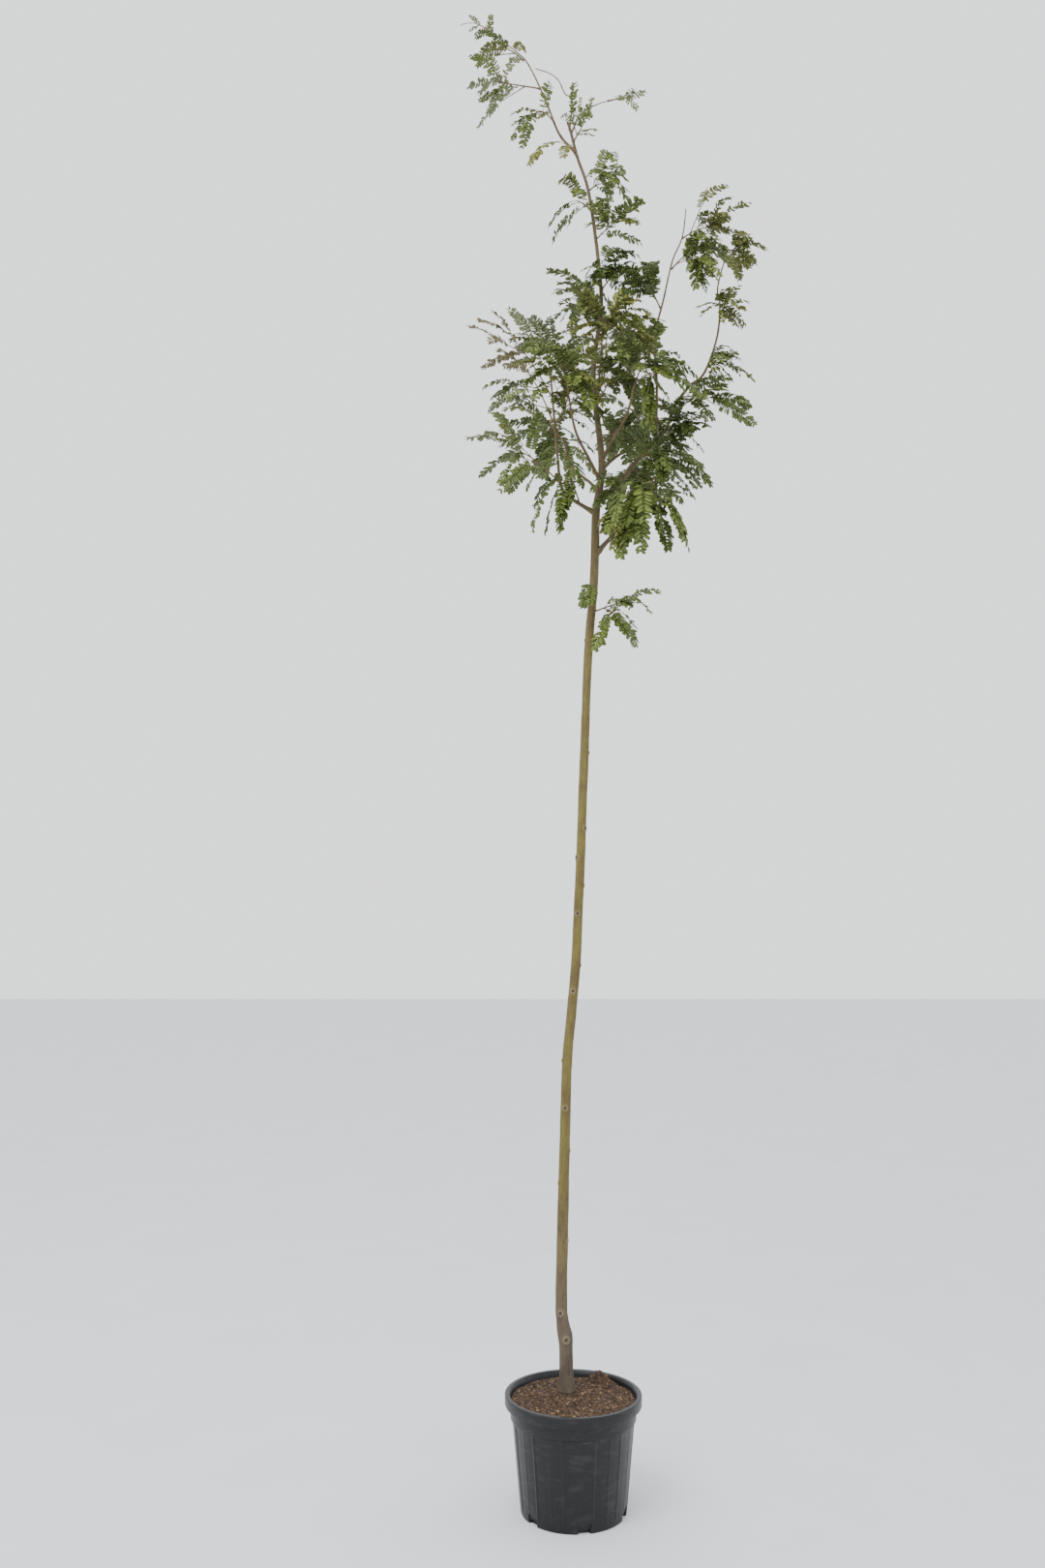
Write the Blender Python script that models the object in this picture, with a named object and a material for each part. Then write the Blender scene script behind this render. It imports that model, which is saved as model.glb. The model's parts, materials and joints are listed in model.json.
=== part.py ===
"""A young honey locust in a plastic nursery pot, as separate closed solids.

One stem rises from the potting mix to a thin leader, with boughs on all sides above head height,
and each bough carries sprays of feathered leaves. Every spray is one solid: a stem, its twigs and
toothed blades, each blade standing for one feathered leaf.

Metres, +Z up, +X to the right in the front view and +Y away from it. The origin is the middle of
the pot's flat underside.
"""

import math
from dataclasses import dataclass

import bmesh
import bpy
import numpy as np

# Touching solids keep this gap.
CLEARANCE = 0.0003

# Corners nearer than this are one corner.
WELD = 0.00002

# The pot.
POT_HEIGHT = 0.310
POT_RIM_RADIUS = 0.189
POT_FOOT_RADIUS = 0.1454
POT_SIDES = 32
SMOOTH_ANGLE = math.radians(30)
LIP_DEPTH = 0.029
LIP_WIDTH = 0.011
COLLAR_FOOT = 0.245
COLLAR_RADIUS = 0.1735
BODY_TOP_RADIUS = 0.168
WALL = 0.004
FLOOR = 0.006
FOOT_CHAMFER = 0.003
LIP_CHAMFER = 0.003
LIP_SLOPE_DEPTH = 0.012
COLLAR_STEP = 0.002
NOTCH_COUNT = 6
NOTCH_WIDTH = 0.034
NOTCH_HEIGHT = 0.009
NOTCH_DEPTH = 0.0025
NOTCH_BLOCK_DEPTH = 0.03
NOTCH_FIRST_TURN = math.radians(9)

# The potting mix, heaped a little round the stem's foot, with a clump at the back right.
SOIL_EDGE_HEIGHT = 0.293
SOIL_RINGS = 4
HEAP_REACH = 0.13
RIPPLE_HEIGHT = 0.0016
CLUMP_PLACE = (0.078, 0.118)
CLUMP_HEIGHT = 0.026
CLUMP_RADIUS = 0.024

# The trunk, from the flat cut at the potting mix to the pruned tip of its leader.
FOOT = (-0.015, 0.020, 0.305)
FOOT_FLAT_RADIUS = 0.030
TRUNK_SIDES = 8
TRUNK_RINGS = 34
TRUNK_BENDS = (
    (-0.018, 0.020, 0.360),
    (-0.019, 0.020, 0.440),
    (-0.029, 0.020, 0.500),
    (-0.031, 0.020, 0.580),
    (-0.019, 0.018, 1.040),
    (-0.013, 0.018, 1.210),
    (0.001, 0.020, 1.360),
    (0.017, 0.022, 1.564),
    (0.038, 0.020, 2.055),
    (0.051, 0.018, 2.367),
    (0.070, 0.018, 2.598),
    (0.077, 0.020, 2.800),
    (0.095, 0.022, 2.950),
    (0.071, 0.024, 3.220),
    (0.094, 0.020, 3.410),
    (0.091, 0.018, 3.540),
    (0.061, 0.020, 3.785),
    (0.027, 0.020, 3.900),
    (0.005, 0.020, 3.988),
    (-0.004, 0.020, 4.015),
)
# Height and radius: root flare, the thicker rootstock, its graft and the long taper above it.
TRUNK_GIRTHS = (
    (0.305, 0.0215),
    (0.340, 0.0195),
    (0.430, 0.0190),
    (0.458, 0.0208),
    (0.500, 0.0170),
    (0.580, 0.0162),
    (1.200, 0.0140),
    (2.200, 0.0124),
    (2.780, 0.0124),
    (2.900, 0.0104),
    (3.200, 0.0084),
    (3.400, 0.0064),
    (3.700, 0.0050),
    (3.990, 0.0042),
    (4.015, 0.0034),
)

# Boughs and sprays.
BOUGH_SIDES = 5
TWIG_SIDES = 3
BOUGH_RING_SPACING = 0.08
LEAST_RINGS = 5
TAPER_POWER = 0.8
# How deep in its limb a stem starts before it is cut off, as a share of the limb's radius.
SUNK_SHARE = 0.5
STEM_RADIUS = 0.0026
TWIG_RADIUS = 0.0019
TIP_TAPER = 0.6
TWIG_TIP_TAPER = 0.7
SEED = 4100
TRIES = 40
GOLDEN_TURN = math.radians(137.5)
SPACE_MARGIN = 0.004
LIMB_MARGIN = 0.0065
TWIG_MARGIN = 0.004
SPRAY_POINTS = 4
FINE_POINTS = 400
CURVE_STEPS = 12
TWIG_POINTS = 2
LEAF_POINTS = 17
ACROSS_POINTS = 7
WIDTH_FACTOR = 0.054
NOTCH_SHARE = 0.30
RIDGE_SHARE = 0.012
LEAST_RIDGE = 0.0013
ROOT_HALF_WIDTH = 0.00045
# Where a twig leaves its stem, how far it turns, how long it is and how it droops.
TWIG_PLACES = (0.2, 0.8)
TWIG_TURN_SPREAD = 1.2
TWIG_ANGLES = (0.6, 1.1)
TWIG_LEAST_LENGTH = 0.035
TWIG_LENGTH_SHARE = 0.42
TWIG_LENGTH_SPREAD = (0.8, 1.2)
TWIG_DROOP = 0.35

# Where a leaf leaves its twig, how it turns, and how long and how curved it is.
END_PLACES = (0.97, 0.985)
PLACE_STEP = 0.26
PLACE_SPREAD = (-0.06, 0.03)
LEAST_PLACE = 0.3
END_ANGLES = (0.1, 0.6)
SIDE_ANGLES = (0.7, 1.3)
LEAF_LENGTH_SPREAD = (0.85, 1.2)
SHORTER = 0.975
SHORTEST = 0.6
DROOP_SPREAD = (0.7, 1.3)
ROLL_SPREAD = 0.6
UPWARD = 0.12
ASIDE = 0.2
END_NARROWING = 0.5
TOOTH_PLACE = 0.78
TOOTH_DROP = 0.3

# A leaf has one tooth a side more for each of these lengths that it reaches.
TOOTH_LENGTHS = (0.0, 0.0, 0.155, 0.27)
# Leaves of one mass keep this far apart outside their roots.
LEAF_GAP = 0.0075
ROOT_ROWS = 4
# A fused mass holds at least this share of its pieces' volumes.
FUSED_SHARE = 0.7
UP = np.array((0.0, 0.0, 1.0))


@dataclass(frozen=True)
class Bough:
    """One limb: what it grows from, where it bends, and its radius at both ends.

    at is a height in metres on the trunk, or a share of the length of any other limb.
    """

    name: str
    parent: str
    at: float
    bends: tuple
    base_radius: float
    tip_radius: float


@dataclass(frozen=True)
class Spray:
    """One mass of leaves: its limb, where its stem ends, and its twigs and leaves."""

    name: str
    limb: str
    at: float
    tip: tuple
    rise: float
    twigs: int
    leaves: int
    leaf: float
    droop: float


BOUGHS = (
    Bough("bough_low_right", "trunk", 2.672,
          ((0.116, 0.010, 2.720), (0.184, -0.030, 2.772), (0.219, -0.050, 2.796),
           (0.235, -0.060, 2.871)), 0.0068, 0.0034),
    Bough("bough_left", "trunk", 2.798,
          ((0.002, 0.000, 2.839), (-0.027, -0.020, 2.869), (-0.038, -0.030, 2.960),
           (-0.049, -0.040, 3.087), (-0.058, -0.050, 3.200)), 0.0062, 0.0026),
    Bough("bough_right", "trunk", 2.838,
          ((0.144, 0.030, 2.892), (0.191, 0.040, 2.955), (0.283, 0.030, 3.052),
           (0.309, 0.020, 3.122), (0.356, 0.020, 3.188)), 0.0074, 0.0042),
    Bough("bough_right_shoot", "bough_right", 1.0,
          ((0.402, 0.020, 3.229), (0.443, 0.030, 3.344), (0.454, 0.040, 3.449),
           (0.449, 0.040, 3.506), (0.482, 0.050, 3.627)), 0.0042, 0.0018),
    Bough("bough_upright", "bough_right", 0.56,
          ((0.258, 0.000, 3.177), (0.251, -0.030, 3.315), (0.277, -0.040, 3.432),
           (0.302, -0.050, 3.540), (0.332, -0.050, 3.614), (0.344, -0.050, 3.701)),
          0.0050, 0.0016),
    Bough("bough_top_arch", "trunk", 3.918,
          ((-0.028, 0.020, 3.976), (-0.070, 0.000, 4.072), (-0.122, -0.020, 4.173),
           (-0.158, -0.030, 4.206), (-0.216, -0.030, 4.255)), 0.0040, 0.0016),
    Bough("bough_top_arc", "trunk", 3.990,
          ((0.010, 0.030, 4.091), (-0.010, 0.035, 4.116), (-0.031, 0.045, 4.167),
           (-0.060, 0.050, 4.193), (-0.101, 0.050, 4.207)), 0.0026, 0.0014),
    Bough("bough_top_right", "trunk", 3.975,
          ((0.036, 0.010, 4.035), (0.085, -0.010, 4.053), (0.116, -0.020, 4.057)),
          0.0022, 0.0014),
    Bough("bough_front_left", "trunk", 2.895,
          ((0.052, -0.045, 2.945), (0.012, -0.115, 3.000), (-0.008, -0.165, 3.075)),
          0.0056, 0.0028),
    Bough("bough_front_right", "trunk", 2.955,
          ((0.124, -0.045, 3.002), (0.158, -0.110, 3.048), (0.174, -0.165, 3.105)),
          0.0054, 0.0026),
    Bough("bough_back_left", "trunk", 2.862,
          ((0.062, 0.085, 2.915), (0.012, 0.150, 2.985), (-0.012, 0.195, 3.080)),
          0.0056, 0.0028),
    Bough("bough_back_right", "trunk", 2.930,
          ((0.128, 0.095, 2.985), (0.175, 0.170, 3.050), (0.196, 0.215, 3.145)),
          0.0056, 0.0028),
    Bough("bough_back_high", "trunk", 3.130,
          ((0.090, 0.080, 3.190), (0.110, 0.130, 3.265), (0.118, 0.160, 3.345)),
          0.0044, 0.0022),
    Bough("bough_front_high", "trunk", 3.080,
          ((0.080, -0.028, 3.135), (0.084, -0.080, 3.195), (0.088, -0.112, 3.255)),
          0.0042, 0.0020),
)

SPRAYS = (
    Spray("leaves_top_tip", "bough_top_arch", 1.0, (-0.286, -0.030, 4.300), 0.004, 0, 5, 0.040, 0.3),
    Spray("leaves_top_crest", "bough_top_arch", 0.74, (-0.190, -0.080, 4.185), 0.004, 1, 6, 0.10, 1.6),
    Spray("leaves_top_left", "bough_top_arch", 0.52, (-0.225, -0.050, 4.100), 0.000, 2, 9, 0.10, 0.8),
    Spray("leaves_top_mid", "bough_top_arch", 0.25, (-0.090, -0.030, 4.020), 0.010, 1, 6, 0.10, 0.8),
    Spray("leaves_top_right", "bough_top_right", 1.0, (0.190, -0.038, 4.058), 0.002, 0, 4, 0.05, 0.4),
    Spray("leaves_top_cluster", "trunk", 3.950, (0.045, -0.018, 3.990), 0.000, 1, 7, 0.09, 0.6),
    Spray("leaves_arch", "trunk", 3.895, (-0.006, -0.014, 3.922), 0.004, 0, 3, 0.20, 2.0),
    Spray("leaves_leader_high", "trunk", 3.795, (0.096, 0.000, 3.808), 0.004, 1, 6, 0.14, 2.2),
    Spray("leaves_leader_left", "trunk", 3.735, (0.022, -0.004, 3.752), 0.004, 1, 5, 0.13, 1.8),
    Spray("leaves_leader_right", "trunk", 3.640, (0.124, 0.000, 3.672), 0.004, 1, 7, 0.13, 1.2),
    Spray("leaves_leader_mid", "trunk", 3.480, (0.145, -0.035, 3.520), 0.006, 2, 11, 0.12, 1.8),
    Spray("leaves_leader_front", "trunk", 3.430, (0.044, -0.048, 3.452), 0.004, 1, 5, 0.12, 0.9),
    Spray("leaves_left_top", "bough_left", 1.0, (-0.082, -0.070, 3.300), 0.006, 2, 8, 0.13, 0.8),
    Spray("leaves_left_far", "bough_left", 0.84, (-0.170, -0.020, 3.322), 0.010, 2, 7, 0.13, 0.6),
    Spray("leaves_left_mid", "bough_left", 0.66, (-0.135, -0.060, 3.215), 0.016, 2, 8, 0.12, 1.2),
    Spray("leaves_left_low", "bough_left", 0.30, (-0.185, -0.030, 2.985), 0.018, 3, 9, 0.13, 0.7),
    Spray("leaves_left_hang", "bough_left", 0.12, (-0.022, -0.075, 2.905), 0.014, 1, 7, 0.17, 2.4),
    Spray("leaves_left_inner", "bough_left", 0.58, (0.012, -0.100, 3.170), 0.010, 2, 12, 0.12, 1.2),
    Spray("leaves_stem_right", "trunk", 3.120, (0.150, -0.045, 3.230), 0.010, 3, 13, 0.12, 1.1),
    Spray("leaves_stem_low", "trunk", 3.010, (0.185, 0.060, 3.090), 0.008, 2, 11, 0.13, 1.3),
    Spray("leaves_upright_low", "bough_upright", 0.26, (0.200, -0.060, 3.285), 0.006, 3, 11, 0.12, 1.0),
    Spray("leaves_upright_mid", "bough_upright", 0.55, (0.222, -0.080, 3.460), 0.006, 2, 8, 0.12, 0.9),
    Spray("leaves_upright_high", "bough_upright", 0.72, (0.375, -0.060, 3.580), 0.006, 2, 9, 0.11, 1.5),
    Spray("leaves_upright_tip", "bough_upright", 0.86, (0.445, -0.030, 3.655), 0.014, 3, 10, 0.09, 0.9),
    Spray("leaves_shoot_top", "bough_right_shoot", 1.0, (0.510, 0.050, 3.620), 0.000, 1, 7, 0.09, 1.4),
    Spray("leaves_shoot_mid", "bough_right_shoot", 0.55, (0.480, 0.010, 3.430), 0.006, 1, 7, 0.09, 1.4),
    Spray("leaves_shoot_low", "bough_right_shoot", 0.20, (0.425, -0.020, 3.245), 0.006, 2, 8, 0.085, 1.3),
    Spray("leaves_right_tip", "bough_right", 0.90, (0.405, -0.030, 3.130), 0.006, 2, 8, 0.13, 0.9),
    Spray("leaves_right_mid", "bough_right", 0.68, (0.340, -0.020, 3.050), 0.004, 1, 8, 0.13, 1.1),
    Spray("leaves_right_low", "bough_right", 0.45, (0.275, -0.030, 2.950), -0.004, 1, 9, 0.11, 1.0),
    Spray("leaves_right_inner", "bough_right", 0.30, (0.205, 0.110, 2.960), 0.004, 2, 8, 0.15, 1.3),
    Spray("leaves_low_hang", "bough_low_right", 0.74, (0.216, -0.130, 2.790), 0.012, 1, 9, 0.24, 3.4),
    Spray("leaves_low_out", "bough_low_right", 1.0, (0.275, -0.085, 2.905), 0.004, 1, 10, 0.16, 2.2),
    Spray("leaves_low_inner", "bough_low_right", 0.48, (0.130, -0.060, 2.850), 0.000, 1, 8, 0.15, 1.8),
    Spray("leaves_low_twig", "trunk", 2.500, (0.165, -0.004, 2.530), 0.004, 1, 7, 0.12, 1.1),
    Spray("leaves_low_front", "trunk", 2.560, (0.068, -0.042, 2.560), 0.004, 0, 4, 0.14, 3.4),
    Spray("leaves_front_left", "bough_front_left", 1.0, (-0.030, -0.250, 3.140), 0.008, 3, 8, 0.15, 1.1),
    Spray("leaves_front_right", "bough_front_right", 1.0, (0.198, -0.245, 3.145), 0.008, 3, 9, 0.15, 1.1),
    Spray("leaves_back_left", "bough_back_left", 1.0, (-0.055, 0.270, 3.150), 0.008, 3, 8, 0.16, 1.2),
    Spray("leaves_back_right", "bough_back_right", 1.0, (0.240, 0.300, 3.200), 0.008, 3, 8, 0.16, 1.2),
    Spray("leaves_back_high", "bough_back_high", 1.0, (0.125, 0.205, 3.440), 0.006, 3, 9, 0.15, 1.0),
    Spray("leaves_front_high", "bough_front_high", 1.0, (0.090, -0.170, 3.310), 0.006, 3, 9, 0.13, 1.2),
)


def unit(vectors):
    """The vectors at length one."""
    return vectors / np.linalg.norm(vectors, axis=-1, keepdims=True)


def evenly(line, count):
    """count points spread evenly along a line of points."""
    steps = np.linalg.norm(np.diff(line, axis=0), axis=1)
    along = np.concatenate([[0.0], np.cumsum(steps)])
    places = np.linspace(0.0, along[-1], count)
    return np.stack([np.interp(places, along, line[:, axis]) for axis in range(3)], axis=1)


def length_of(line):
    """The length of a line of points."""
    return float(np.linalg.norm(np.diff(line, axis=0), axis=1).sum())


def smooth_line(bends, count):
    """count points along a Catmull-Rom curve through the bends."""
    bends = np.asarray(bends, dtype=float)
    padded = np.vstack([2 * bends[0] - bends[1], bends, 2 * bends[-1] - bends[-2]])
    t = np.linspace(0.0, 1.0, CURVE_STEPS, endpoint=False)[:, None]
    pieces = []
    for before, first, last, after in zip(padded, padded[1:], padded[2:], padded[3:]):
        square = (2 * before - 5 * first + 4 * last - after) * t**2
        cube = (3 * first - before - 3 * last + after) * t**3
        pieces.append(0.5 * (2 * first + (last - before) * t + square + cube))
    pieces.append(bends[-1:])
    return evenly(np.concatenate(pieces), count)


def arching_line(root, heading, length, droop, count):
    """A line that leaves root along heading and bends towards the ground by its droop."""
    shares = np.linspace(0.0, 1.0, count)[:, None]
    headings = unit(heading - UP * droop * shares)
    steps = (headings[1:] + headings[:-1]) / 2 * length / (count - 1)
    return root + np.concatenate([np.zeros((1, 3)), np.cumsum(steps, axis=0)])


def raised_line(start, end, rise, count):
    """A curve from start to end whose middle stands above the straight line by its rise."""
    middle = (start + end) / 2 + UP * rise * 2
    t = np.linspace(0.0, 1.0, count)[:, None]
    return (1 - t) ** 2 * start + 2 * t * (1 - t) * middle + t**2 * end


def distances_to_line(points, line):
    """Each point's distance to a line of points, and the share of the line where it is nearest."""
    starts = line[:-1]
    spans = line[1:] - starts
    offsets = points[:, None] - starts
    t = np.clip((offsets * spans).sum(-1) / (spans**2).sum(-1), 0.0, 1.0)
    gaps = np.linalg.norm(offsets - t[..., None] * spans, axis=-1)
    nearest = gaps.argmin(axis=1)
    row = np.arange(len(points))
    return gaps[row, nearest], (nearest + t[row, nearest]) / len(spans)


class Limb:
    """The centre line and radii of the trunk or of a bough, and the way that its foot faces."""

    def __init__(self, name, line, radii, sides, foot_heading=None):
        self.name = name
        self.line = line
        self.radii = radii
        self.sides = sides
        self.foot_heading = foot_heading

    def at(self, share):
        """The centre, radius and direction at a share of the limb's length."""
        place = share * (len(self.line) - 1)
        index = min(int(place), len(self.line) - 2)
        part = place - index
        centre = self.line[index] * (1 - part) + self.line[index + 1] * part
        radius = self.radii[index] * (1 - part) + self.radii[index + 1] * part
        return centre, radius, unit(self.line[index + 1] - self.line[index])

    def share_at_height(self, height):
        """The share of a rising limb's length where it reaches a height."""
        shares = np.linspace(0.0, 1.0, len(self.line))
        return float(np.interp(height, self.line[:, 2], shares))

    def gaps(self, points):
        """Each point's distance to the limb's surface."""
        distances, shares = distances_to_line(points, self.line)
        return distances - np.interp(shares, np.linspace(0, 1, len(self.radii)), self.radii)


def plan_trunk():
    """The trunk's centre line and its radius at each ring."""
    bends = (FOOT,) + TRUNK_BENDS
    line = smooth_line(bends, TRUNK_RINGS)
    heights, girths = zip(*TRUNK_GIRTHS)
    return Limb("trunk", line, np.interp(line[:, 2], heights, girths), TRUNK_SIDES, UP)


def plan_limbs():
    """Every limb by name, each worked out from the one it grows from."""
    limbs = {"trunk": plan_trunk()}
    for bough in BOUGHS:
        parent = limbs[bough.parent]
        share = parent.share_at_height(bough.at) if bough.parent == "trunk" else bough.at
        centre, _, direction = parent.at(share)
        start = centre + direction * CLEARANCE if share == 1.0 else centre
        bends = np.vstack([start, bough.bends])
        rings = max(LEAST_RINGS, round(length_of(bends) / BOUGH_RING_SPACING) + 2)
        line = smooth_line(bends, rings)
        taper = np.linspace(0.0, 1.0, rings) ** TAPER_POWER
        radii = bough.base_radius + (bough.tip_radius - bough.base_radius) * taper
        heading = direction if share == 1.0 else None
        limbs[bough.name] = Limb(bough.name, line, radii, BOUGH_SIDES, heading)
    return limbs


def spray_stem(spray, limbs):
    """The centre line of a spray's stem outside its limb, and a point inside that it comes from."""
    limb = limbs[spray.limb]
    share = limb.share_at_height(spray.at) if spray.limb == "trunk" else spray.at
    centre, radius, direction = limb.at(share)
    tip = np.array(spray.tip)
    if share == 1.0:
        return raised_line(centre + direction * CLEARANCE, tip, spray.rise, SPRAY_POINTS), None
    line = raised_line(centre, tip, spray.rise, FINE_POINTS)
    gaps = limb.gaps(line)
    outside = int(np.argmax(gaps >= CLEARANCE))
    inside = int(np.argmax(gaps >= -SUNK_SHARE * radius))
    return evenly(line[outside:], SPRAY_POINTS), line[inside]


class Leaf:
    """One feathered leaf: its arching rib, the direction across it, and its half width."""

    def __init__(self, root, heading, length, droop, roll, facing):
        self.length = length
        self.half_width = WIDTH_FACTOR * math.sqrt(length)
        self.line = arching_line(root, heading, length, droop, LEAF_POINTS)
        headings = unit(np.gradient(self.line, axis=0))
        aside = np.array((math.cos(facing), math.sin(facing), 0.0))
        flat = np.cross(heading, UP) + ASIDE * aside
        flat = unit(flat - (headings * flat).sum(-1, keepdims=True) * headings)
        above = np.cross(flat, headings)
        self.across = math.cos(roll) * flat + math.sin(roll) * above
        self.above = np.cross(self.across, headings)
        self.points = self.spread()

    def at(self, share):
        """The rib, the direction across and the direction above at a share of the length."""
        place = share * (LEAF_POINTS - 1)
        index = min(int(place), LEAF_POINTS - 2)
        part = place - index
        rows = (self.line, self.across, self.above)
        return [row[index] * (1 - part) + row[index + 1] * part for row in rows]

    def width_at(self, share):
        """The half width, which narrows towards both ends."""
        return self.half_width * (1 - END_NARROWING * np.abs(2 * share - 1) ** 3)

    def spread(self):
        """Rows of points close together over the leaf, from its root to its tip."""
        widths = self.width_at(np.linspace(0.0, 1.0, LEAF_POINTS))
        widths[0] = ROOT_HALF_WIDTH
        edges = self.across * widths[:, None]
        return self.line[:, None] + edges[:, None] * np.linspace(-1, 1, ACROSS_POINTS)[:, None]


class Branching:
    """The stems and twigs of all sprays, whose nearest one decides whose space a point is in."""

    def __init__(self, limbs):
        self.limbs = limbs
        self.stems, self.feet = zip(*(spray_stem(spray, limbs) for spray in SPRAYS))
        self.twigs = [[] for _ in SPRAYS]
        self.gather()
        grown = [self.grow_twigs(index) for index in range(len(SPRAYS))]
        self.twigs = grown
        self.gather()

    def gather(self):
        """Lists the straight pieces of every stem and twig, with the spray that each is part of."""
        lines = [(index, line) for index, stem in enumerate(self.stems)
                 for line in [stem] + self.twigs[index]]
        self.starts = np.concatenate([line[:-1] for _, line in lines])
        self.spans = np.concatenate([np.diff(line, axis=0) for _, line in lines])
        self.owners = np.concatenate([np.full(len(line) - 1, index) for index, line in lines])

    def has_room(self, points, index):
        """Whether the points are nearer to this spray's wood than to any other spray's."""
        offsets = points[:, None] - self.starts
        t = np.clip((offsets * self.spans).sum(-1) / (self.spans**2).sum(-1), 0.0, 1.0)
        gaps = np.linalg.norm(offsets - t[..., None] * self.spans, axis=-1)
        own = gaps[:, self.owners == index].min(axis=1)
        other = gaps[:, self.owners != index].min(axis=1)
        return bool((own + SPACE_MARGIN < other).all())

    def clears_limbs(self, points, margin):
        """Whether the points stay this far off the trunk and every bough."""
        return all((limb.gaps(points) > margin).all() for limb in self.limbs.values())

    def grow_twigs(self, index):
        """Branches one stem by golden turns, and skips a twig that finds no room."""
        spray, stem = SPRAYS[index], self.stems[index]
        draw = np.random.default_rng(SEED + index)
        twigs = []
        for number in range(spray.twigs):
            for _ in range(TRIES):
                first, last = TWIG_PLACES
                share = first + (last - first) * (number + draw.random()) / spray.twigs
                azimuth = number * GOLDEN_TURN + draw.uniform(-TWIG_TURN_SPREAD, TWIG_TURN_SPREAD)
                angle = draw.uniform(*TWIG_ANGLES)
                length = TWIG_LEAST_LENGTH + TWIG_LENGTH_SHARE * length_of(stem) * (1.1 - share)
                length *= draw.uniform(*TWIG_LENGTH_SPREAD)
                root, direction = place_on(stem, share)
                heading = turned(direction, angle, azimuth)
                line = arching_line(root, heading, length, TWIG_DROOP, TWIG_POINTS)
                clear = self.clears_limbs(evenly(line, 9)[2:], TWIG_MARGIN)
                if clear and self.has_room(line, index):
                    twigs.append(line)
                    break
        return twigs


class Foliage:
    """One spray's leaves, set from the tips of its stem and twigs inwards."""

    def __init__(self, index, branching):
        self.index = index
        self.spray = SPRAYS[index]
        self.branching = branching
        self.axes = [branching.stems[index]] + branching.twigs[index]
        self.draw = np.random.default_rng(SEED + 1000 + index)
        self.leaves = []
        for number in range(self.spray.leaves):
            self.add_leaf(number)

    def is_crowded(self, leaf):
        """Whether a leaf crosses one that is already there."""
        outer = leaf.points[ROOT_ROWS:].reshape(-1, 1, 3)
        for other in self.leaves:
            gaps = np.linalg.norm(outer - other.points[ROOT_ROWS:].reshape(-1, 3), axis=-1)
            if gaps.min() < LEAF_GAP:
                return True
        return False

    def add_leaf(self, number):
        """Draws a leaf until one fits, each try a little shorter, or skips it."""
        round_number, which = divmod(number, len(self.axes))
        for attempt in range(TRIES):
            leaf = self.try_leaf(self.axes[which], number, round_number, attempt)
            points = leaf.points.reshape(-1, 3)
            if self.is_crowded(leaf) or not self.branching.clears_limbs(points, LIMB_MARGIN):
                continue
            if self.branching.has_room(points, self.index):
                self.leaves.append(leaf)
                return

    def try_leaf(self, axis, number, round_number, attempt):
        """One leaf drawn by the spray's rule."""
        draw = self.draw
        share = 1.0 - PLACE_STEP * round_number + draw.uniform(*PLACE_SPREAD)
        share = min(max(share, LEAST_PLACE if round_number else END_PLACES[0]), END_PLACES[1])
        angle = draw.uniform(*(SIDE_ANGLES if round_number else END_ANGLES))
        azimuth = number * GOLDEN_TURN + draw.uniform(-1.0, 1.0)
        length = self.spray.leaf * draw.uniform(*LEAF_LENGTH_SPREAD)
        length *= max(SHORTEST, SHORTER**attempt)
        droop = self.spray.droop * draw.uniform(*DROOP_SPREAD)
        roll = draw.uniform(-ROLL_SPREAD, ROLL_SPREAD)
        facing = draw.uniform(0.0, 2 * math.pi)
        point, direction = place_on(axis, share)
        heading = unit(turned(direction, angle, azimuth) + UPWARD * UP)
        return Leaf(point, heading, length, droop, roll, facing)


def place_on(line, share):
    """The point and direction at a share of a stem or twig."""
    place = share * (len(line) - 1)
    index = min(int(place), len(line) - 2)
    part = place - index
    return line[index] * (1 - part) + line[index + 1] * part, unit(line[index + 1] - line[index])


def turned(direction, angle, azimuth):
    """A direction at an angle from another, at an azimuth round it."""
    side = unit(np.cross(direction, (0.31, 0.17, 0.93)))
    other = np.cross(direction, side)
    round_it = math.cos(azimuth) * side + math.sin(azimuth) * other
    return unit(direction * math.cos(angle) + round_it * math.sin(angle))


def clear_scene():
    """Removes every object that the file holds."""
    for thing in list(bpy.data.objects):
        bpy.data.objects.remove(thing, do_unlink=True)


def make_material(name, colour, roughness):
    """A plain Principled material."""
    material = bpy.data.materials.new(name)
    material.use_nodes = True
    shader = material.node_tree.nodes["Principled BSDF"]
    shader.inputs["Base Color"].default_value = (*colour, 1.0)
    shader.inputs["Roughness"].default_value = roughness
    return material


def make_object(name, points, faces, material):
    """A linked mesh object with one material."""
    mesh = bpy.data.meshes.new(name)
    mesh.from_pydata([tuple(point) for point in points], [], faces)
    mesh.materials.append(material)
    thing = bpy.data.objects.new(name, mesh)
    bpy.context.scene.collection.objects.link(thing)
    return thing


def settle(thing):
    """Replaces an object's mesh by what its modifiers make of it."""
    bpy.context.view_layer.update()
    graph = bpy.context.evaluated_depsgraph_get()
    mesh = bpy.data.meshes.new_from_object(thing.evaluated_get(graph))
    thing.modifiers.clear()
    thing.data = mesh


def cut(thing, cutter):
    """Takes the cutter's volume off an object and removes the cutter."""
    modifier = thing.modifiers.new("Cut", "BOOLEAN")
    modifier.operation = "DIFFERENCE"
    modifier.solver = "EXACT"
    modifier.object = cutter
    settle(thing)
    bpy.data.objects.remove(cutter, do_unlink=True)


def islands(edited):
    """The separate bodies of a bmesh, as lists of faces."""
    unseen = set(edited.faces)
    found = []
    while unseen:
        body = [unseen.pop()]
        for face in body:
            for edge in face.edges:
                paired = len(edge.link_faces) == 2
                for beside in edge.link_faces if paired else ():
                    if beside in unseen:
                        unseen.remove(beside)
                        body.append(beside)
        found.append(body)
    return found


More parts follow.
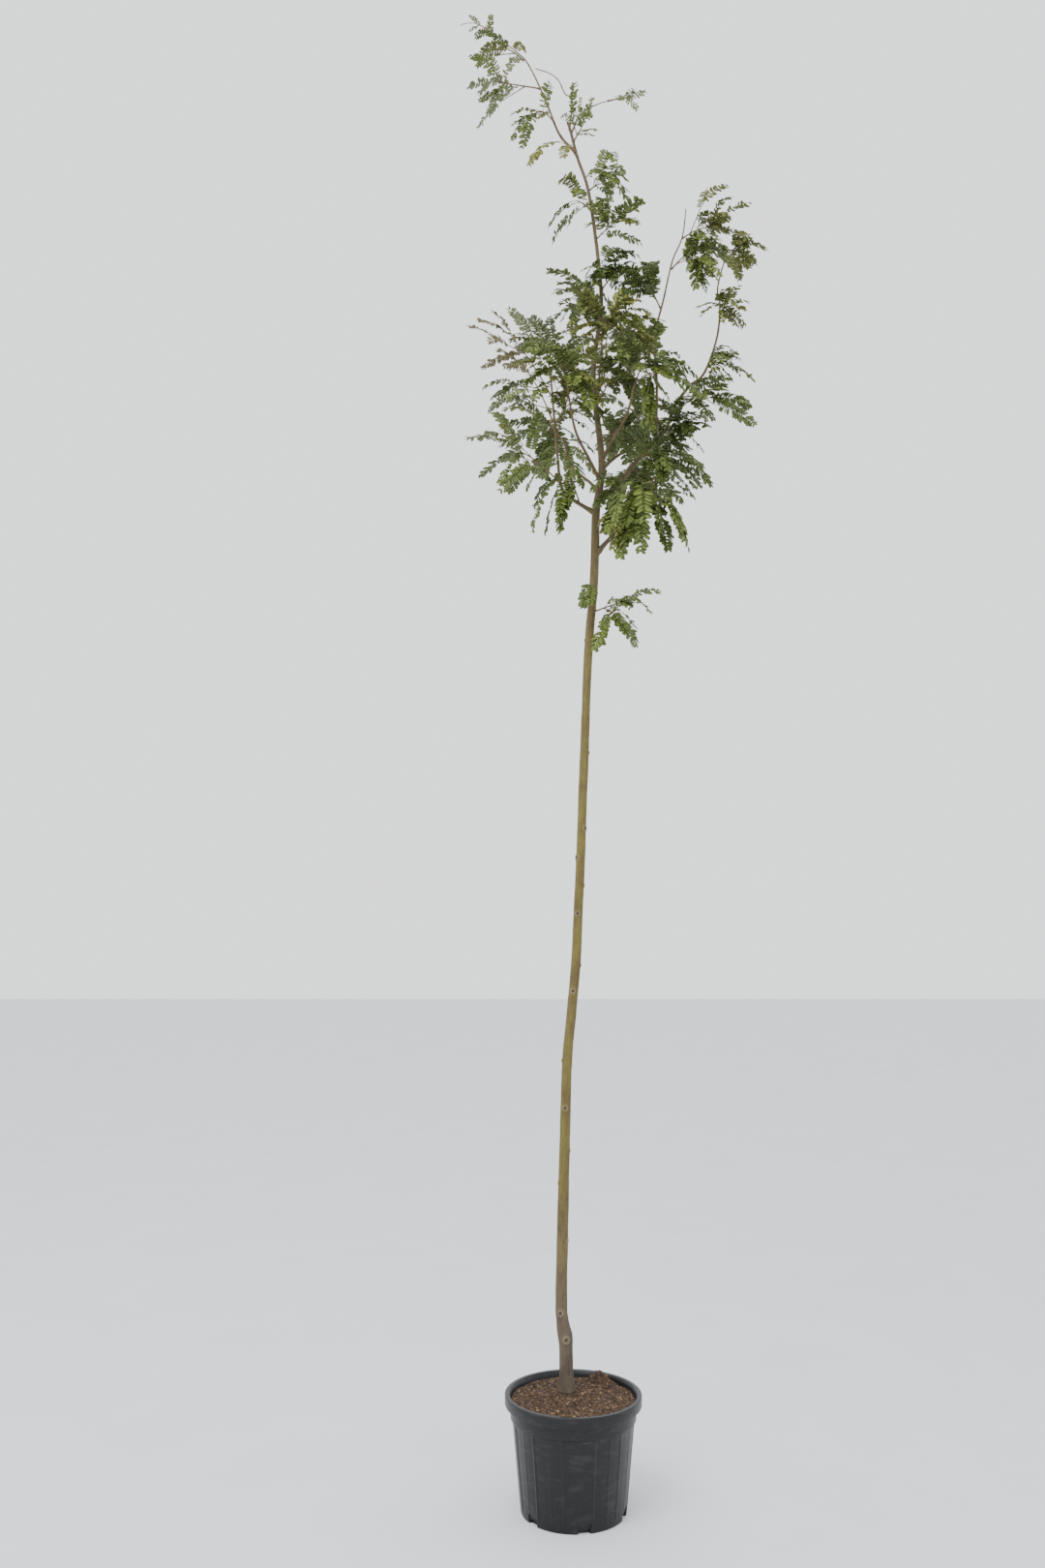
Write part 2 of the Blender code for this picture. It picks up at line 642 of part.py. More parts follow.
def signed_volume(body):
    """The volume inside a body of triangles, below zero for a sealed hollow."""
    corners = np.array([[vert.co for vert in face.verts] for face in body])
    corners -= corners[0, 0]
    return float(np.einsum("ij,ij->i", corners[:, 0], np.cross(corners[:, 1], corners[:, 2])).sum())


def closed_volume(thing):
    """The volume inside a mesh, or nothing if it isn't closed."""
    edited = bmesh.new()
    edited.from_mesh(thing.data)
    closed = all(len(edge.link_faces) == 2 for edge in edited.edges)
    volume = edited.calc_volume() if closed else 0.0
    edited.free()
    return volume


def keep_main_body(thing):
    """Welds a fused mesh, fills its sealed hollows and drops loose scraps."""
    edited = bmesh.new()
    edited.from_mesh(thing.data)
    bmesh.ops.triangulate(edited, faces=edited.faces[:])
    bmesh.ops.remove_doubles(edited, verts=edited.verts[:], dist=WELD)
    bmesh.ops.dissolve_degenerate(edited, dist=WELD / 2, edges=edited.edges[:])
    bmesh.ops.triangulate(edited, faces=edited.faces[:])
    bodies = sorted(islands(edited), key=signed_volume)
    spare = [face for body in bodies[:-1] for face in body]
    bmesh.ops.delete(edited, geom=spare, context="FACES")
    edited.to_mesh(thing.data)
    edited.free()


def fuse(name, pieces):
    """Joins the pieces by one Boolean union on a collection, and names the result."""
    first, *others = pieces
    group = bpy.data.collections.new(name + "_pieces")
    for piece in others:
        group.objects.link(piece)
    unfused = first.data
    expected = FUSED_SHARE * sum(closed_volume(piece) for piece in pieces)
    for solver in ("EXACT", "MANIFOLD"):
        first.data = unfused
        modifier = first.modifiers.new("Join", "BOOLEAN")
        modifier.operation = "UNION"
        modifier.operand_type = "COLLECTION"
        modifier.collection = group
        modifier.solver = solver
        settle(first)
        keep_main_body(first)
        if closed_volume(first) > expected:
            break
    for piece in others:
        bpy.data.objects.remove(piece, do_unlink=True)
    bpy.data.collections.remove(group)
    first.name = name


def make_tube(name, line, radii, sides, material, first_heading=None):
    """A closed tube of flat sides along a line, its rings turning as little as they can."""
    headings = unit(np.gradient(line, axis=0))
    if first_heading is not None:
        headings[0] = first_heading
    side = unit(np.cross(headings[0], (0.2, 0.9, 0.1)))
    angles = np.linspace(0.0, 2 * math.pi, sides, endpoint=False)[:, None]
    points = []
    for centre, heading, radius in zip(line, headings, radii):
        side = unit(side - (side @ heading) * heading)
        other = np.cross(heading, side)
        points.append(centre + radius * (np.cos(angles) * side + np.sin(angles) * other))
    faces = [list(range(sides))[::-1]]
    for ring in range(len(line) - 1):
        for corner in range(sides):
            beside = (corner + 1) % sides
            low = ring * sides
            high = low + sides
            faces.append([low + corner, low + beside, high + beside, high + corner])
    faces.append([(len(line) - 1) * sides + corner for corner in range(sides)])
    return make_object(name, np.concatenate(points), faces, material)


def make_blade(name, leaf, material):
    """A thin toothed blade with a ridge along its top, from its rib's root to its tip."""
    teeth = sum(leaf.length >= least for least in TOOTH_LENGTHS)
    ridge = max(LEAST_RIDGE, RIDGE_SHARE * leaf.length)
    points = []
    for tooth in range(teeth):
        share = tooth / teeth
        rib, across, above = leaf.at(share)
        notch = across * (NOTCH_SHARE * leaf.width_at(share) if tooth else ROOT_HALF_WIDTH)
        rise = above * (ridge / 2 if tooth else ROOT_HALF_WIDTH)
        points += [rib + rise, rib + notch - rise, rib - notch - rise]
        forward = (tooth + TOOTH_PLACE) / teeth
        rib, across, above = leaf.at(forward)
        reach = across * leaf.width_at(forward)
        drop = above * ridge * TOOTH_DROP
        points += [rib + reach - drop, rib - reach - drop]
    points.append(leaf.at(1.0)[0])
    end = len(points) - 1
    faces = [(0, 2, 1)]
    for tooth in range(teeth):
        top, left, right, left_tip, right_tip = range(tooth * 5, tooth * 5 + 5)
        last = tooth == teeth - 1
        next_top, next_left, next_right = (end, end, end) if last else (top + 5, left + 5, right + 5)
        faces += [(top, left, left_tip), (top, right_tip, right)]
        faces += [(top, left_tip, next_top), (top, next_top, right_tip)]
        faces += [(left, next_left, left_tip), (right, right_tip, next_right)]
        if last:
            faces.append((left, right, end))
        else:
            faces += [(next_top, left_tip, next_left), (next_top, next_right, right_tip)]
            faces += [(left, right, next_right), (left, next_right, next_left)]
    return make_object(name, np.array(points), faces, material)


def make_stem(foliage, material):
    """A spray's stem, its foot cut to the side of its limb or facing its limb's tip."""
    limb = foliage.branching.limbs[foliage.spray.limb]
    foot = foliage.branching.feet[foliage.index]
    line = foliage.axes[0]
    radii = STEM_RADIUS * np.linspace(1.0, TIP_TAPER, SPRAY_POINTS)
    name = foliage.spray.name + "_stem"
    if foot is None:
        return make_tube(name, line, radii, TWIG_SIDES, material, limb.at(1.0)[2])
    line = np.vstack([foot, line])
    stem = make_tube(name, line, np.append(STEM_RADIUS, radii), TWIG_SIDES, material)
    cut(stem, make_limb(limb, material, CLEARANCE))
    keep_main_body(stem)
    return stem


def make_spray(foliage, material):
    """One spray as a single solid: stem, twigs and blades fused."""
    name = foliage.spray.name
    twigs = foliage.axes[1:]
    twig_radii = TWIG_RADIUS * np.linspace(1.0, TWIG_TIP_TAPER, TWIG_POINTS)
    pieces = [make_stem(foliage, material)]
    for line in twigs:
        pieces.append(make_tube(name + "_twig", line, twig_radii, TWIG_SIDES, material))
    for leaf in foliage.leaves:
        pieces.append(make_blade(name + "_leaf", leaf, material))
    fuse(name, pieces)


def make_limb(limb, material, extra=0.0):
    """A limb's solid, or a cutter when it is made thicker by an extra radius."""
    radii = limb.radii + extra
    return make_tube(limb.name, limb.line, radii, limb.sides, material, limb.foot_heading)


def make_limbs(limbs, material):
    """The trunk and the boughs, each bough's foot cut to the side of the limb it leaves."""
    make_limb(limbs["trunk"], material)
    for bough in BOUGHS:
        thing = make_limb(limbs[bough.name], material)
        if limbs[bough.name].foot_heading is None:
            cut(thing, make_limb(limbs[bough.parent], material, CLEARANCE))
            keep_main_body(thing)
            thing.name = bough.name


def pot_profile():
    """Radius and height round the pot's wall, from the middle of its underside and back."""
    lip_foot = POT_HEIGHT - LIP_DEPTH
    outer = [
        (0.0, 0.0),
        (POT_FOOT_RADIUS - FOOT_CHAMFER, 0.0),
        (POT_FOOT_RADIUS, FOOT_CHAMFER),
        (BODY_TOP_RADIUS, COLLAR_FOOT - COLLAR_STEP),
        (COLLAR_RADIUS - COLLAR_STEP, COLLAR_FOOT),
        (COLLAR_RADIUS, lip_foot),
        (POT_RIM_RADIUS - LIP_CHAMFER, lip_foot),
        (POT_RIM_RADIUS, lip_foot + LIP_CHAMFER),
        (POT_RIM_RADIUS, POT_HEIGHT - LIP_CHAMFER),
        (POT_RIM_RADIUS - LIP_CHAMFER, POT_HEIGHT),
    ]
    inner = [
        (POT_RIM_RADIUS - LIP_WIDTH, POT_HEIGHT),
        (inner_radius(POT_HEIGHT - LIP_SLOPE_DEPTH), POT_HEIGHT - LIP_SLOPE_DEPTH),
        (inner_radius(COLLAR_FOOT), COLLAR_FOOT),
        (inner_radius(FLOOR), FLOOR),
        (0.0, FLOOR),
    ]
    return outer + inner


def inner_radius(height):
    """The radius of the pot's inner wall, which is a plain cone."""
    foot = POT_FOOT_RADIUS - WALL
    top = COLLAR_RADIUS - WALL
    return foot + (top - foot) * height / (POT_HEIGHT - LIP_DEPTH)


def make_pot(material):
    """The pot, turned from its profile, with drain notches in the foot of its wall."""
    edited = bmesh.new()
    verts = [edited.verts.new((radius, 0.0, height)) for radius, height in pot_profile()]
    edges = [edited.edges.new(pair) for pair in zip(verts, verts[1:])]
    bmesh.ops.spin(edited, geom=verts + edges, cent=(0, 0, 0), axis=(0, 0, 1), dvec=(0, 0, 0),
                   angle=2 * math.pi, steps=POT_SIDES, use_merge=True, use_duplicate=False)
    bmesh.ops.remove_doubles(edited, verts=edited.verts[:], dist=0.00005)
    bmesh.ops.recalc_face_normals(edited, faces=edited.faces[:])
    mesh = bpy.data.meshes.new("pot")
    edited.to_mesh(mesh)
    edited.free()
    mesh.materials.append(material)
    pot = bpy.data.objects.new("pot", mesh)
    bpy.context.scene.collection.objects.link(pot)
    cut(pot, make_notch_cutter(material))
    keep_main_body(pot)
    pot.name = "pot"
    pot.data.shade_smooth()
    pot.data.set_sharp_from_angle(angle=SMOOTH_ANGLE)


def make_notch_cutter(material):
    """Blocks round the foot of the pot's wall, one where each drain notch goes."""
    edited = bmesh.new()
    for number in range(NOTCH_COUNT):
        turn = NOTCH_FIRST_TURN + number * 2 * math.pi / NOTCH_COUNT - math.pi / 2
        reach = POT_FOOT_RADIUS - NOTCH_DEPTH + NOTCH_BLOCK_DEPTH / 2
        made = bmesh.ops.create_cube(edited, size=1.0)["verts"]
        bmesh.ops.scale(edited, verts=made, vec=(NOTCH_BLOCK_DEPTH, NOTCH_WIDTH, 2 * NOTCH_HEIGHT))
        bmesh.ops.translate(edited, verts=made, vec=(reach, 0.0, 0.0))
        turn_matrix = ((math.cos(turn), -math.sin(turn), 0.0),
                       (math.sin(turn), math.cos(turn), 0.0), (0.0, 0.0, 1.0))
        for vert in made:
            vert.co = [sum(row[axis] * vert.co[axis] for axis in range(3)) for row in turn_matrix]
    mesh = bpy.data.meshes.new("notches")
    edited.to_mesh(mesh)
    edited.free()
    mesh.materials.append(material)
    cutter = bpy.data.objects.new("notches", mesh)
    bpy.context.scene.collection.objects.link(cutter)
    return cutter


def soil_height(x, y):
    """The height of the potting mix: level at the wall, heaped at the stem, with one clump."""
    from_foot = math.hypot(x - FOOT[0], y - FOOT[1])
    heap = max(0.0, 1.0 - (from_foot - FOOT_FLAT_RADIUS) / HEAP_REACH) ** 1.5
    level = SOIL_EDGE_HEIGHT + (FOOT[2] - CLEARANCE - SOIL_EDGE_HEIGHT) * min(1.0, heap)
    ripple = RIPPLE_HEIGHT * math.sin(61 * x + 1.0) * math.cos(53 * y) * (1 - min(1.0, heap))
    from_clump = math.hypot(x - CLUMP_PLACE[0], y - CLUMP_PLACE[1])
    clump = CLUMP_HEIGHT * math.exp(-((from_clump / CLUMP_RADIUS) ** 2))
    return level + ripple + clump


def make_soil(material):
    """The potting mix that fills the pot, flat under the cut of the trunk."""
    turns = [2 * math.pi * number / POT_SIDES for number in range(POT_SIDES)]
    gap = CLEARANCE * 1.2
    points = [(FOOT[0], FOOT[1], FOOT[2] - CLEARANCE)]
    rim = inner_radius(SOIL_EDGE_HEIGHT) - gap
    for ring in range(SOIL_RINGS):
        share = ring / (SOIL_RINGS - 1)
        for turn in turns:
            near_x = FOOT[0] + FOOT_FLAT_RADIUS * math.cos(turn)
            near_y = FOOT[1] + FOOT_FLAT_RADIUS * math.sin(turn)
            x = near_x + (rim * math.cos(turn) - near_x) * share
            y = near_y + (rim * math.sin(turn) - near_y) * share
            if ring == 0:
                height = FOOT[2] - CLEARANCE
            else:
                height = SOIL_EDGE_HEIGHT if share == 1.0 else soil_height(x, y)
            points.append((x, y, height))
    foot_radius = inner_radius(FLOOR) - gap
    foot_height = FLOOR + CLEARANCE
    points += [(foot_radius * math.cos(turn), foot_radius * math.sin(turn), foot_height)
               for turn in turns]
    points.append((0.0, 0.0, foot_height))
    faces = []
    for corner in range(POT_SIDES):
        beside = (corner + 1) % POT_SIDES
        faces.append((0, 1 + corner, 1 + beside))
        for ring in range(SOIL_RINGS):
            near = 1 + ring * POT_SIDES
            far = near + POT_SIDES
            faces.append((near + corner, far + corner, far + beside))
            faces.append((near + corner, far + beside, near + beside))
        last = 1 + SOIL_RINGS * POT_SIDES
        faces.append((len(points) - 1, last + beside, last + corner))
    make_object("soil", points, faces, material)


def build():
    """Makes the pot, the potting mix, the trunk, the boughs and the sprays."""
    clear_scene()
    plastic = make_material("black_plastic", (0.012, 0.013, 0.015), 0.55)
    mix = make_material("potting_mix", (0.055, 0.030, 0.017), 0.95)
    bark = make_material("bark", (0.21, 0.16, 0.085), 0.8)
    leaf_green = make_material("leaf", (0.06, 0.14, 0.03), 0.6)
    make_pot(plastic)
    make_soil(mix)
    limbs = plan_limbs()
    make_limbs(limbs, bark)
    branching = Branching(limbs)
    for index in range(len(SPRAYS)):
        make_spray(Foliage(index, branching), leaf_green)


build()
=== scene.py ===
"""A young honey locust in a black nursery pot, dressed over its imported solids.

The limbs, stems, twigs and leaves are worked out again by the rule that made the solids, with the
same seeds, so every leaf hangs where its solid blade does. Each blade then becomes a feathered
leaf: a rib with two rows of leaflets. The trunk and the boughs get the relief of their bark, the
pot its ribs and the potting mix its chips.

Metres, +Z up, +X to the right in the front view and +Y away from it.
"""

import json
import logging
import math
from collections.abc import Callable
from dataclasses import dataclass, field
from enum import Enum

import bpy
import numpy as np
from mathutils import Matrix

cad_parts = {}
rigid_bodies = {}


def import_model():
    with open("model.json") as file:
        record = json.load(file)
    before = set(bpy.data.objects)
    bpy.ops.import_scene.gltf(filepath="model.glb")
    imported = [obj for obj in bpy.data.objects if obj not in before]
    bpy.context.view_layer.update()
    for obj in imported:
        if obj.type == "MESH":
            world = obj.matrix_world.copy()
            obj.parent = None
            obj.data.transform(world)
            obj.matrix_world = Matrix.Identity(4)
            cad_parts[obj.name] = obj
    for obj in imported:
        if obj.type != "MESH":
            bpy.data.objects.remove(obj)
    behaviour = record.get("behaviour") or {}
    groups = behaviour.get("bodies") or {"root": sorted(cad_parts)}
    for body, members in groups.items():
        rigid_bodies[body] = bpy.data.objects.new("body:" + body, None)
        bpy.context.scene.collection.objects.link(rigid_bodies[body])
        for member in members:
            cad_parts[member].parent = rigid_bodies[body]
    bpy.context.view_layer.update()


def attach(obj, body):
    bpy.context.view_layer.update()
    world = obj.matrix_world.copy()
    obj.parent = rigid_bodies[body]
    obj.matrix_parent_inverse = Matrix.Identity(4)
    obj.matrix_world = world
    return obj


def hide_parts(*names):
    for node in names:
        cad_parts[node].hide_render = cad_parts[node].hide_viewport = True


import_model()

Array = np.ndarray
Socket = bpy.types.NodeSocket
LOG = logging.getLogger("honey_locust")
BODY = "root"
UP = np.array((0.0, 0.0, 1.0))
SIDE_REFERENCE = (0.31, 0.17, 0.93)
SEED = 4100
LEAF_SEED = SEED + 1000
TRUNK_SEED = SEED + 1
BOUGH_SEED = SEED + 20
LEAFLET_SEED = SEED + 7000
CHIP_SEED = SEED + 9000
COMMON_TONES = 3
GOLDEN_TURN = math.radians(137.5)
FULL_TURN = 2 * math.pi
CLEARANCE = 0.0003
CURVE_STEPS = 12
TINY = 1e-6


def unit(vectors: Array) -> Array:
    """Brings vectors to length one.

    Args:
        vectors: Vectors along the last axis.

    Returns:
        The same directions, each of length one.
    """
    return vectors / np.linalg.norm(vectors, axis=-1, keepdims=True)


def evenly(line: Array, count: int) -> Array:
    """Spreads points evenly along a line of points, by interpolation over its running length.

    Args:
        line: Points along the line, one a row.
        count: How many points to give back.

    Returns:
        The evenly spread points.
    """
    steps = np.linalg.norm(np.diff(line, axis=0), axis=1)
    along = np.concatenate([[0.0], np.cumsum(steps)])
    places = np.linspace(0.0, along[-1], count)
    return np.stack([np.interp(places, along, line[:, axis]) for axis in range(3)], axis=1)


def length_of(line: Array) -> float:
    """Gives the length of a line of points.

    Args:
        line: Points along the line, one a row.

    Returns:
        The sum of the steps between them.
    """
    return float(np.linalg.norm(np.diff(line, axis=0), axis=1).sum())


def smooth_line(bends: Array, count: int) -> Array:
    """Draws a Catmull-Rom curve through bends: a cubic between each two, even in slope at both.

    Args:
        bends: The points that the curve goes through.
        count: How many points to give back.

    Returns:
        Points spread evenly along the curve.
    """
    bends = np.asarray(bends, dtype=float)
    padded = np.vstack([2 * bends[0] - bends[1], bends, 2 * bends[-1] - bends[-2]])
    t = np.linspace(0.0, 1.0, CURVE_STEPS, endpoint=False)[:, None]
    pieces = []
    for before, first, last, after in zip(padded, padded[1:], padded[2:], padded[3:]):
        square = (2 * before - 5 * first + 4 * last - after) * t**2
        cube = (3 * first - before - 3 * last + after) * t**3
        pieces.append(0.5 * (2 * first + (last - before) * t + square + cube))
    pieces.append(bends[-1:])
    return evenly(np.concatenate(pieces), count)


def arching_line(root: Array, heading: Array, length: float, droop: float, count: int) -> Array:
    """Draws a line whose heading turns towards the ground in step with its length.

    Args:
        root: Where it starts.
        heading: Its direction there.
        length: Its length.
        droop: How strongly it turns down by its end.
        count: How many points to give back.

    Returns:
        Points along the line.
    """
    shares = np.linspace(0.0, 1.0, count)[:, None]
    headings = unit(heading - UP * droop * shares)
    steps = (headings[1:] + headings[:-1]) / 2 * length / (count - 1)
    return root + np.concatenate([np.zeros((1, 3)), np.cumsum(steps, axis=0)])


def raised_line(start: Array, end: Array, rise: float, count: int) -> Array:
    """Draws a quadratic curve whose middle stands above the straight line by its rise.

    Args:
        start: Where it starts.
        end: Where it ends.
        rise: How far its middle is raised.
        count: How many points to give back.

    Returns:
        Points along the curve.
    """
    middle = (start + end) / 2 + UP * rise * 2
    t = np.linspace(0.0, 1.0, count)[:, None]
    return (1 - t) ** 2 * start + 2 * t * (1 - t) * middle + t**2 * end


def distances_to_line(points: Array, line: Array) -> tuple[Array, Array]:
    """Measures points against a line, by the nearest point on each of its straight pieces.

    Args:
        points: Points, one a row.
        line: Points along the line.

    Returns:
        Each point's distance, and the share of the line where it is nearest.
    """
    starts = line[:-1]
    spans = line[1:] - starts
    offsets = points[:, None] - starts
    t = np.clip((offsets * spans).sum(-1) / (spans**2).sum(-1), 0.0, 1.0)
    gaps = np.linalg.norm(offsets - t[..., None] * spans, axis=-1)
    nearest = gaps.argmin(axis=1)
    row = np.arange(len(points))
    return gaps[row, nearest], (nearest + t[row, nearest]) / len(spans)


def place_on(line: Array, share: float) -> tuple[Array, Array]:
    """Finds a place on a limb, stem or twig.

    Args:
        line: Points along it.
        share: The share of its length.

    Returns:
        The point there and the direction there.
    """
    place = share * (len(line) - 1)
    index = min(int(place), len(line) - 2)
    part = place - index
    return line[index] * (1 - part) + line[index + 1] * part, unit(line[index + 1] - line[index])


def turned(direction: Array, angle: float, azimuth: float) -> Array:
    """Tilts a direction: the cosine of the angle along it, the sine across it at the azimuth.

    Args:
        direction: The direction to start from.
        angle: How far to tilt from it.
        azimuth: Which way round it to tilt.

    Returns:
        The new direction.
    """
    side = unit(np.cross(direction, SIDE_REFERENCE))
    other = np.cross(direction, side)
    round_it = math.cos(azimuth) * side + math.sin(azimuth) * other
    return unit(direction * math.cos(angle) + round_it * math.sin(angle))


@dataclass(frozen=True)
class Bough:
    """One limb: what it grows from, where it bends, and its radius at both ends.

    at is a height in metres on the trunk, or a share of the length of any other limb.
    """

    name: str
    parent: str
    at: float
    bends: tuple
    base_radius: float
    tip_radius: float


class Tone(Enum):
    """The greens that leaves come in."""

    DEEP = "deep"
    MID = "mid"
    OLIVE = "olive"
    PALE = "pale"
    BRONZE = "bronze"


@dataclass(frozen=True)
class Spray:
    """One mass of leaves: its limb, where its stem ends, its twigs and leaves, and their green."""

    name: str
    limb: str
    at: float
    tip: tuple
    rise: float
    twigs: int
    leaves: int
    leaf: float
    droop: float
    tone: Tone


FOOT = (-0.015, 0.020, 0.305)
TRUNK_RINGS = 34
TRUNK_BENDS = (
    (-0.018, 0.020, 0.360),
    (-0.019, 0.020, 0.440),
    (-0.029, 0.020, 0.500),
    (-0.031, 0.020, 0.580),
    (-0.019, 0.018, 1.040),
    (-0.013, 0.018, 1.210),
    (0.001, 0.020, 1.360),
    (0.017, 0.022, 1.564),
    (0.038, 0.020, 2.055),
    (0.051, 0.018, 2.367),
    (0.070, 0.018, 2.598),
    (0.077, 0.020, 2.800),
    (0.095, 0.022, 2.950),
    (0.071, 0.024, 3.220),
    (0.094, 0.020, 3.410),
    (0.091, 0.018, 3.540),
    (0.061, 0.020, 3.785),
    (0.027, 0.020, 3.900),
    (0.005, 0.020, 3.988),
    (-0.004, 0.020, 4.015),
)
# Height and radius: root flare, the thicker rootstock, its graft and the long taper above it.
TRUNK_GIRTHS = (
    (0.305, 0.0215),
    (0.340, 0.0195),
    (0.430, 0.0190),
    (0.458, 0.0208),
    (0.500, 0.0170),
    (0.580, 0.0162),
    (1.200, 0.0140),
    (2.200, 0.0124),
    (2.780, 0.0124),
    (2.900, 0.0104),
    (3.200, 0.0084),
    (3.400, 0.0064),
    (3.700, 0.0050),
    (3.990, 0.0042),
    (4.015, 0.0034),
)

BOUGH_RING_SPACING = 0.08
LEAST_RINGS = 5
TAPER_POWER = 0.8
TRIES = 40
SPACE_MARGIN = 0.004
LIMB_MARGIN = 0.0065
TWIG_MARGIN = 0.004
SPRAY_POINTS = 4
FINE_POINTS = 400
TWIG_POINTS = 2
LEAF_POINTS = 17
ACROSS_POINTS = 7
WIDTH_FACTOR = 0.054
ROOT_HALF_WIDTH = 0.00045
# Where a twig leaves its stem, how far it turns, how long it is and how it droops.
TWIG_PLACES = (0.2, 0.8)
TWIG_TURN_SPREAD = 1.2
TWIG_ANGLES = (0.6, 1.1)
TWIG_LEAST_LENGTH = 0.035
TWIG_LENGTH_SHARE = 0.42
TWIG_LENGTH_SPREAD = (0.8, 1.2)
TWIG_LONGEST_AT = 1.1
TWIG_DROOP = 0.35
TEST_POINTS = 9

# Where a leaf leaves its twig, how it turns, and how long and how curved it is.
END_PLACES = (0.97, 0.985)
PLACE_STEP = 0.26
PLACE_SPREAD = (-0.06, 0.03)
LEAST_PLACE = 0.3
LEAF_TURN_SPREAD = 1.0
END_ANGLES = (0.1, 0.6)
SIDE_ANGLES = (0.7, 1.3)
LEAF_LENGTH_SPREAD = (0.85, 1.2)
SHORTER = 0.975
SHORTEST = 0.6
DROOP_SPREAD = (0.7, 1.3)
ROLL_SPREAD = 0.6
UPWARD = 0.12
ASIDE = 0.2
END_NARROWING = 0.5

# Leaves of one mass keep this far apart outside their roots.
LEAF_GAP = 0.0075
ROOT_ROWS = 4

# How many leaves grow between those of the solids, as a share of them, by the first name that
# fits, and how far past their box they may reach.
BETWEEN_SHARES = (
    ("leaves_top", 0.3),
    ("leaves_arch", 0.5),
    ("leaves_leader_mid", 2.2),
    ("leaves_leader_front", 2.2),
    ("leaves_leader", 0.45),
    ("leaves_left_inner", 2.0),
    ("leaves_left", 0.6),
    ("leaves_stem", 2.2),
    ("leaves_upright", 1.8),
    ("leaves_shoot", 1.3),
    ("leaves_right", 1.5),
    ("leaves_low_twig", 0.5),
    ("leaves_low", 1.4),
    ("leaves_front", 1.7),
    ("leaves_back", 1.6),
)
BETWEEN_MARGIN = 0.004
BETWEEN_TRIES = 10
BETWEEN_ROUNDS = 4
BETWEEN_ROOT_SHARE = 5

BOUGHS = (
    Bough("bough_low_right", "trunk", 2.672,
          ((0.116, 0.010, 2.720), (0.184, -0.030, 2.772), (0.219, -0.050, 2.796),
           (0.235, -0.060, 2.871)), 0.0068, 0.0034),
    Bough("bough_left", "trunk", 2.798,
          ((0.002, 0.000, 2.839), (-0.027, -0.020, 2.869), (-0.038, -0.030, 2.960),
           (-0.049, -0.040, 3.087), (-0.058, -0.050, 3.200)), 0.0062, 0.0026),
    Bough("bough_right", "trunk", 2.838,
          ((0.144, 0.030, 2.892), (0.191, 0.040, 2.955), (0.283, 0.030, 3.052),
           (0.309, 0.020, 3.122), (0.356, 0.020, 3.188)), 0.0074, 0.0042),
    Bough("bough_right_shoot", "bough_right", 1.0,
          ((0.402, 0.020, 3.229), (0.443, 0.030, 3.344), (0.454, 0.040, 3.449),
           (0.449, 0.040, 3.506), (0.482, 0.050, 3.627)), 0.0042, 0.0018),
    Bough("bough_upright", "bough_right", 0.56,
          ((0.258, 0.000, 3.177), (0.251, -0.030, 3.315), (0.277, -0.040, 3.432),
           (0.302, -0.050, 3.540), (0.332, -0.050, 3.614), (0.344, -0.050, 3.701)),
          0.0050, 0.0016),
    Bough("bough_top_arch", "trunk", 3.918,
          ((-0.028, 0.020, 3.976), (-0.070, 0.000, 4.072), (-0.122, -0.020, 4.173),
           (-0.158, -0.030, 4.206), (-0.216, -0.030, 4.255)), 0.0040, 0.0016),
    Bough("bough_top_arc", "trunk", 3.990,
          ((0.010, 0.030, 4.091), (-0.010, 0.035, 4.116), (-0.031, 0.045, 4.167),
           (-0.060, 0.050, 4.193), (-0.101, 0.050, 4.207)), 0.0026, 0.0014),
    Bough("bough_top_right", "trunk", 3.975,
          ((0.036, 0.010, 4.035), (0.085, -0.010, 4.053), (0.116, -0.020, 4.057)),
          0.0022, 0.0014),
    Bough("bough_front_left", "trunk", 2.895,
          ((0.052, -0.045, 2.945), (0.012, -0.115, 3.000), (-0.008, -0.165, 3.075)),
          0.0056, 0.0028),
    Bough("bough_front_right", "trunk", 2.955,
          ((0.124, -0.045, 3.002), (0.158, -0.110, 3.048), (0.174, -0.165, 3.105)),
          0.0054, 0.0026),
    Bough("bough_back_left", "trunk", 2.862,
          ((0.062, 0.085, 2.915), (0.012, 0.150, 2.985), (-0.012, 0.195, 3.080)),
          0.0056, 0.0028),
    Bough("bough_back_right", "trunk", 2.930,
          ((0.128, 0.095, 2.985), (0.175, 0.170, 3.050), (0.196, 0.215, 3.145)),
          0.0056, 0.0028),
    Bough("bough_back_high", "trunk", 3.130,
          ((0.090, 0.080, 3.190), (0.110, 0.130, 3.265), (0.118, 0.160, 3.345)),
          0.0044, 0.0022),
    Bough("bough_front_high", "trunk", 3.080,
          ((0.080, -0.028, 3.135), (0.084, -0.080, 3.195), (0.088, -0.112, 3.255)),
          0.0042, 0.0020),
)

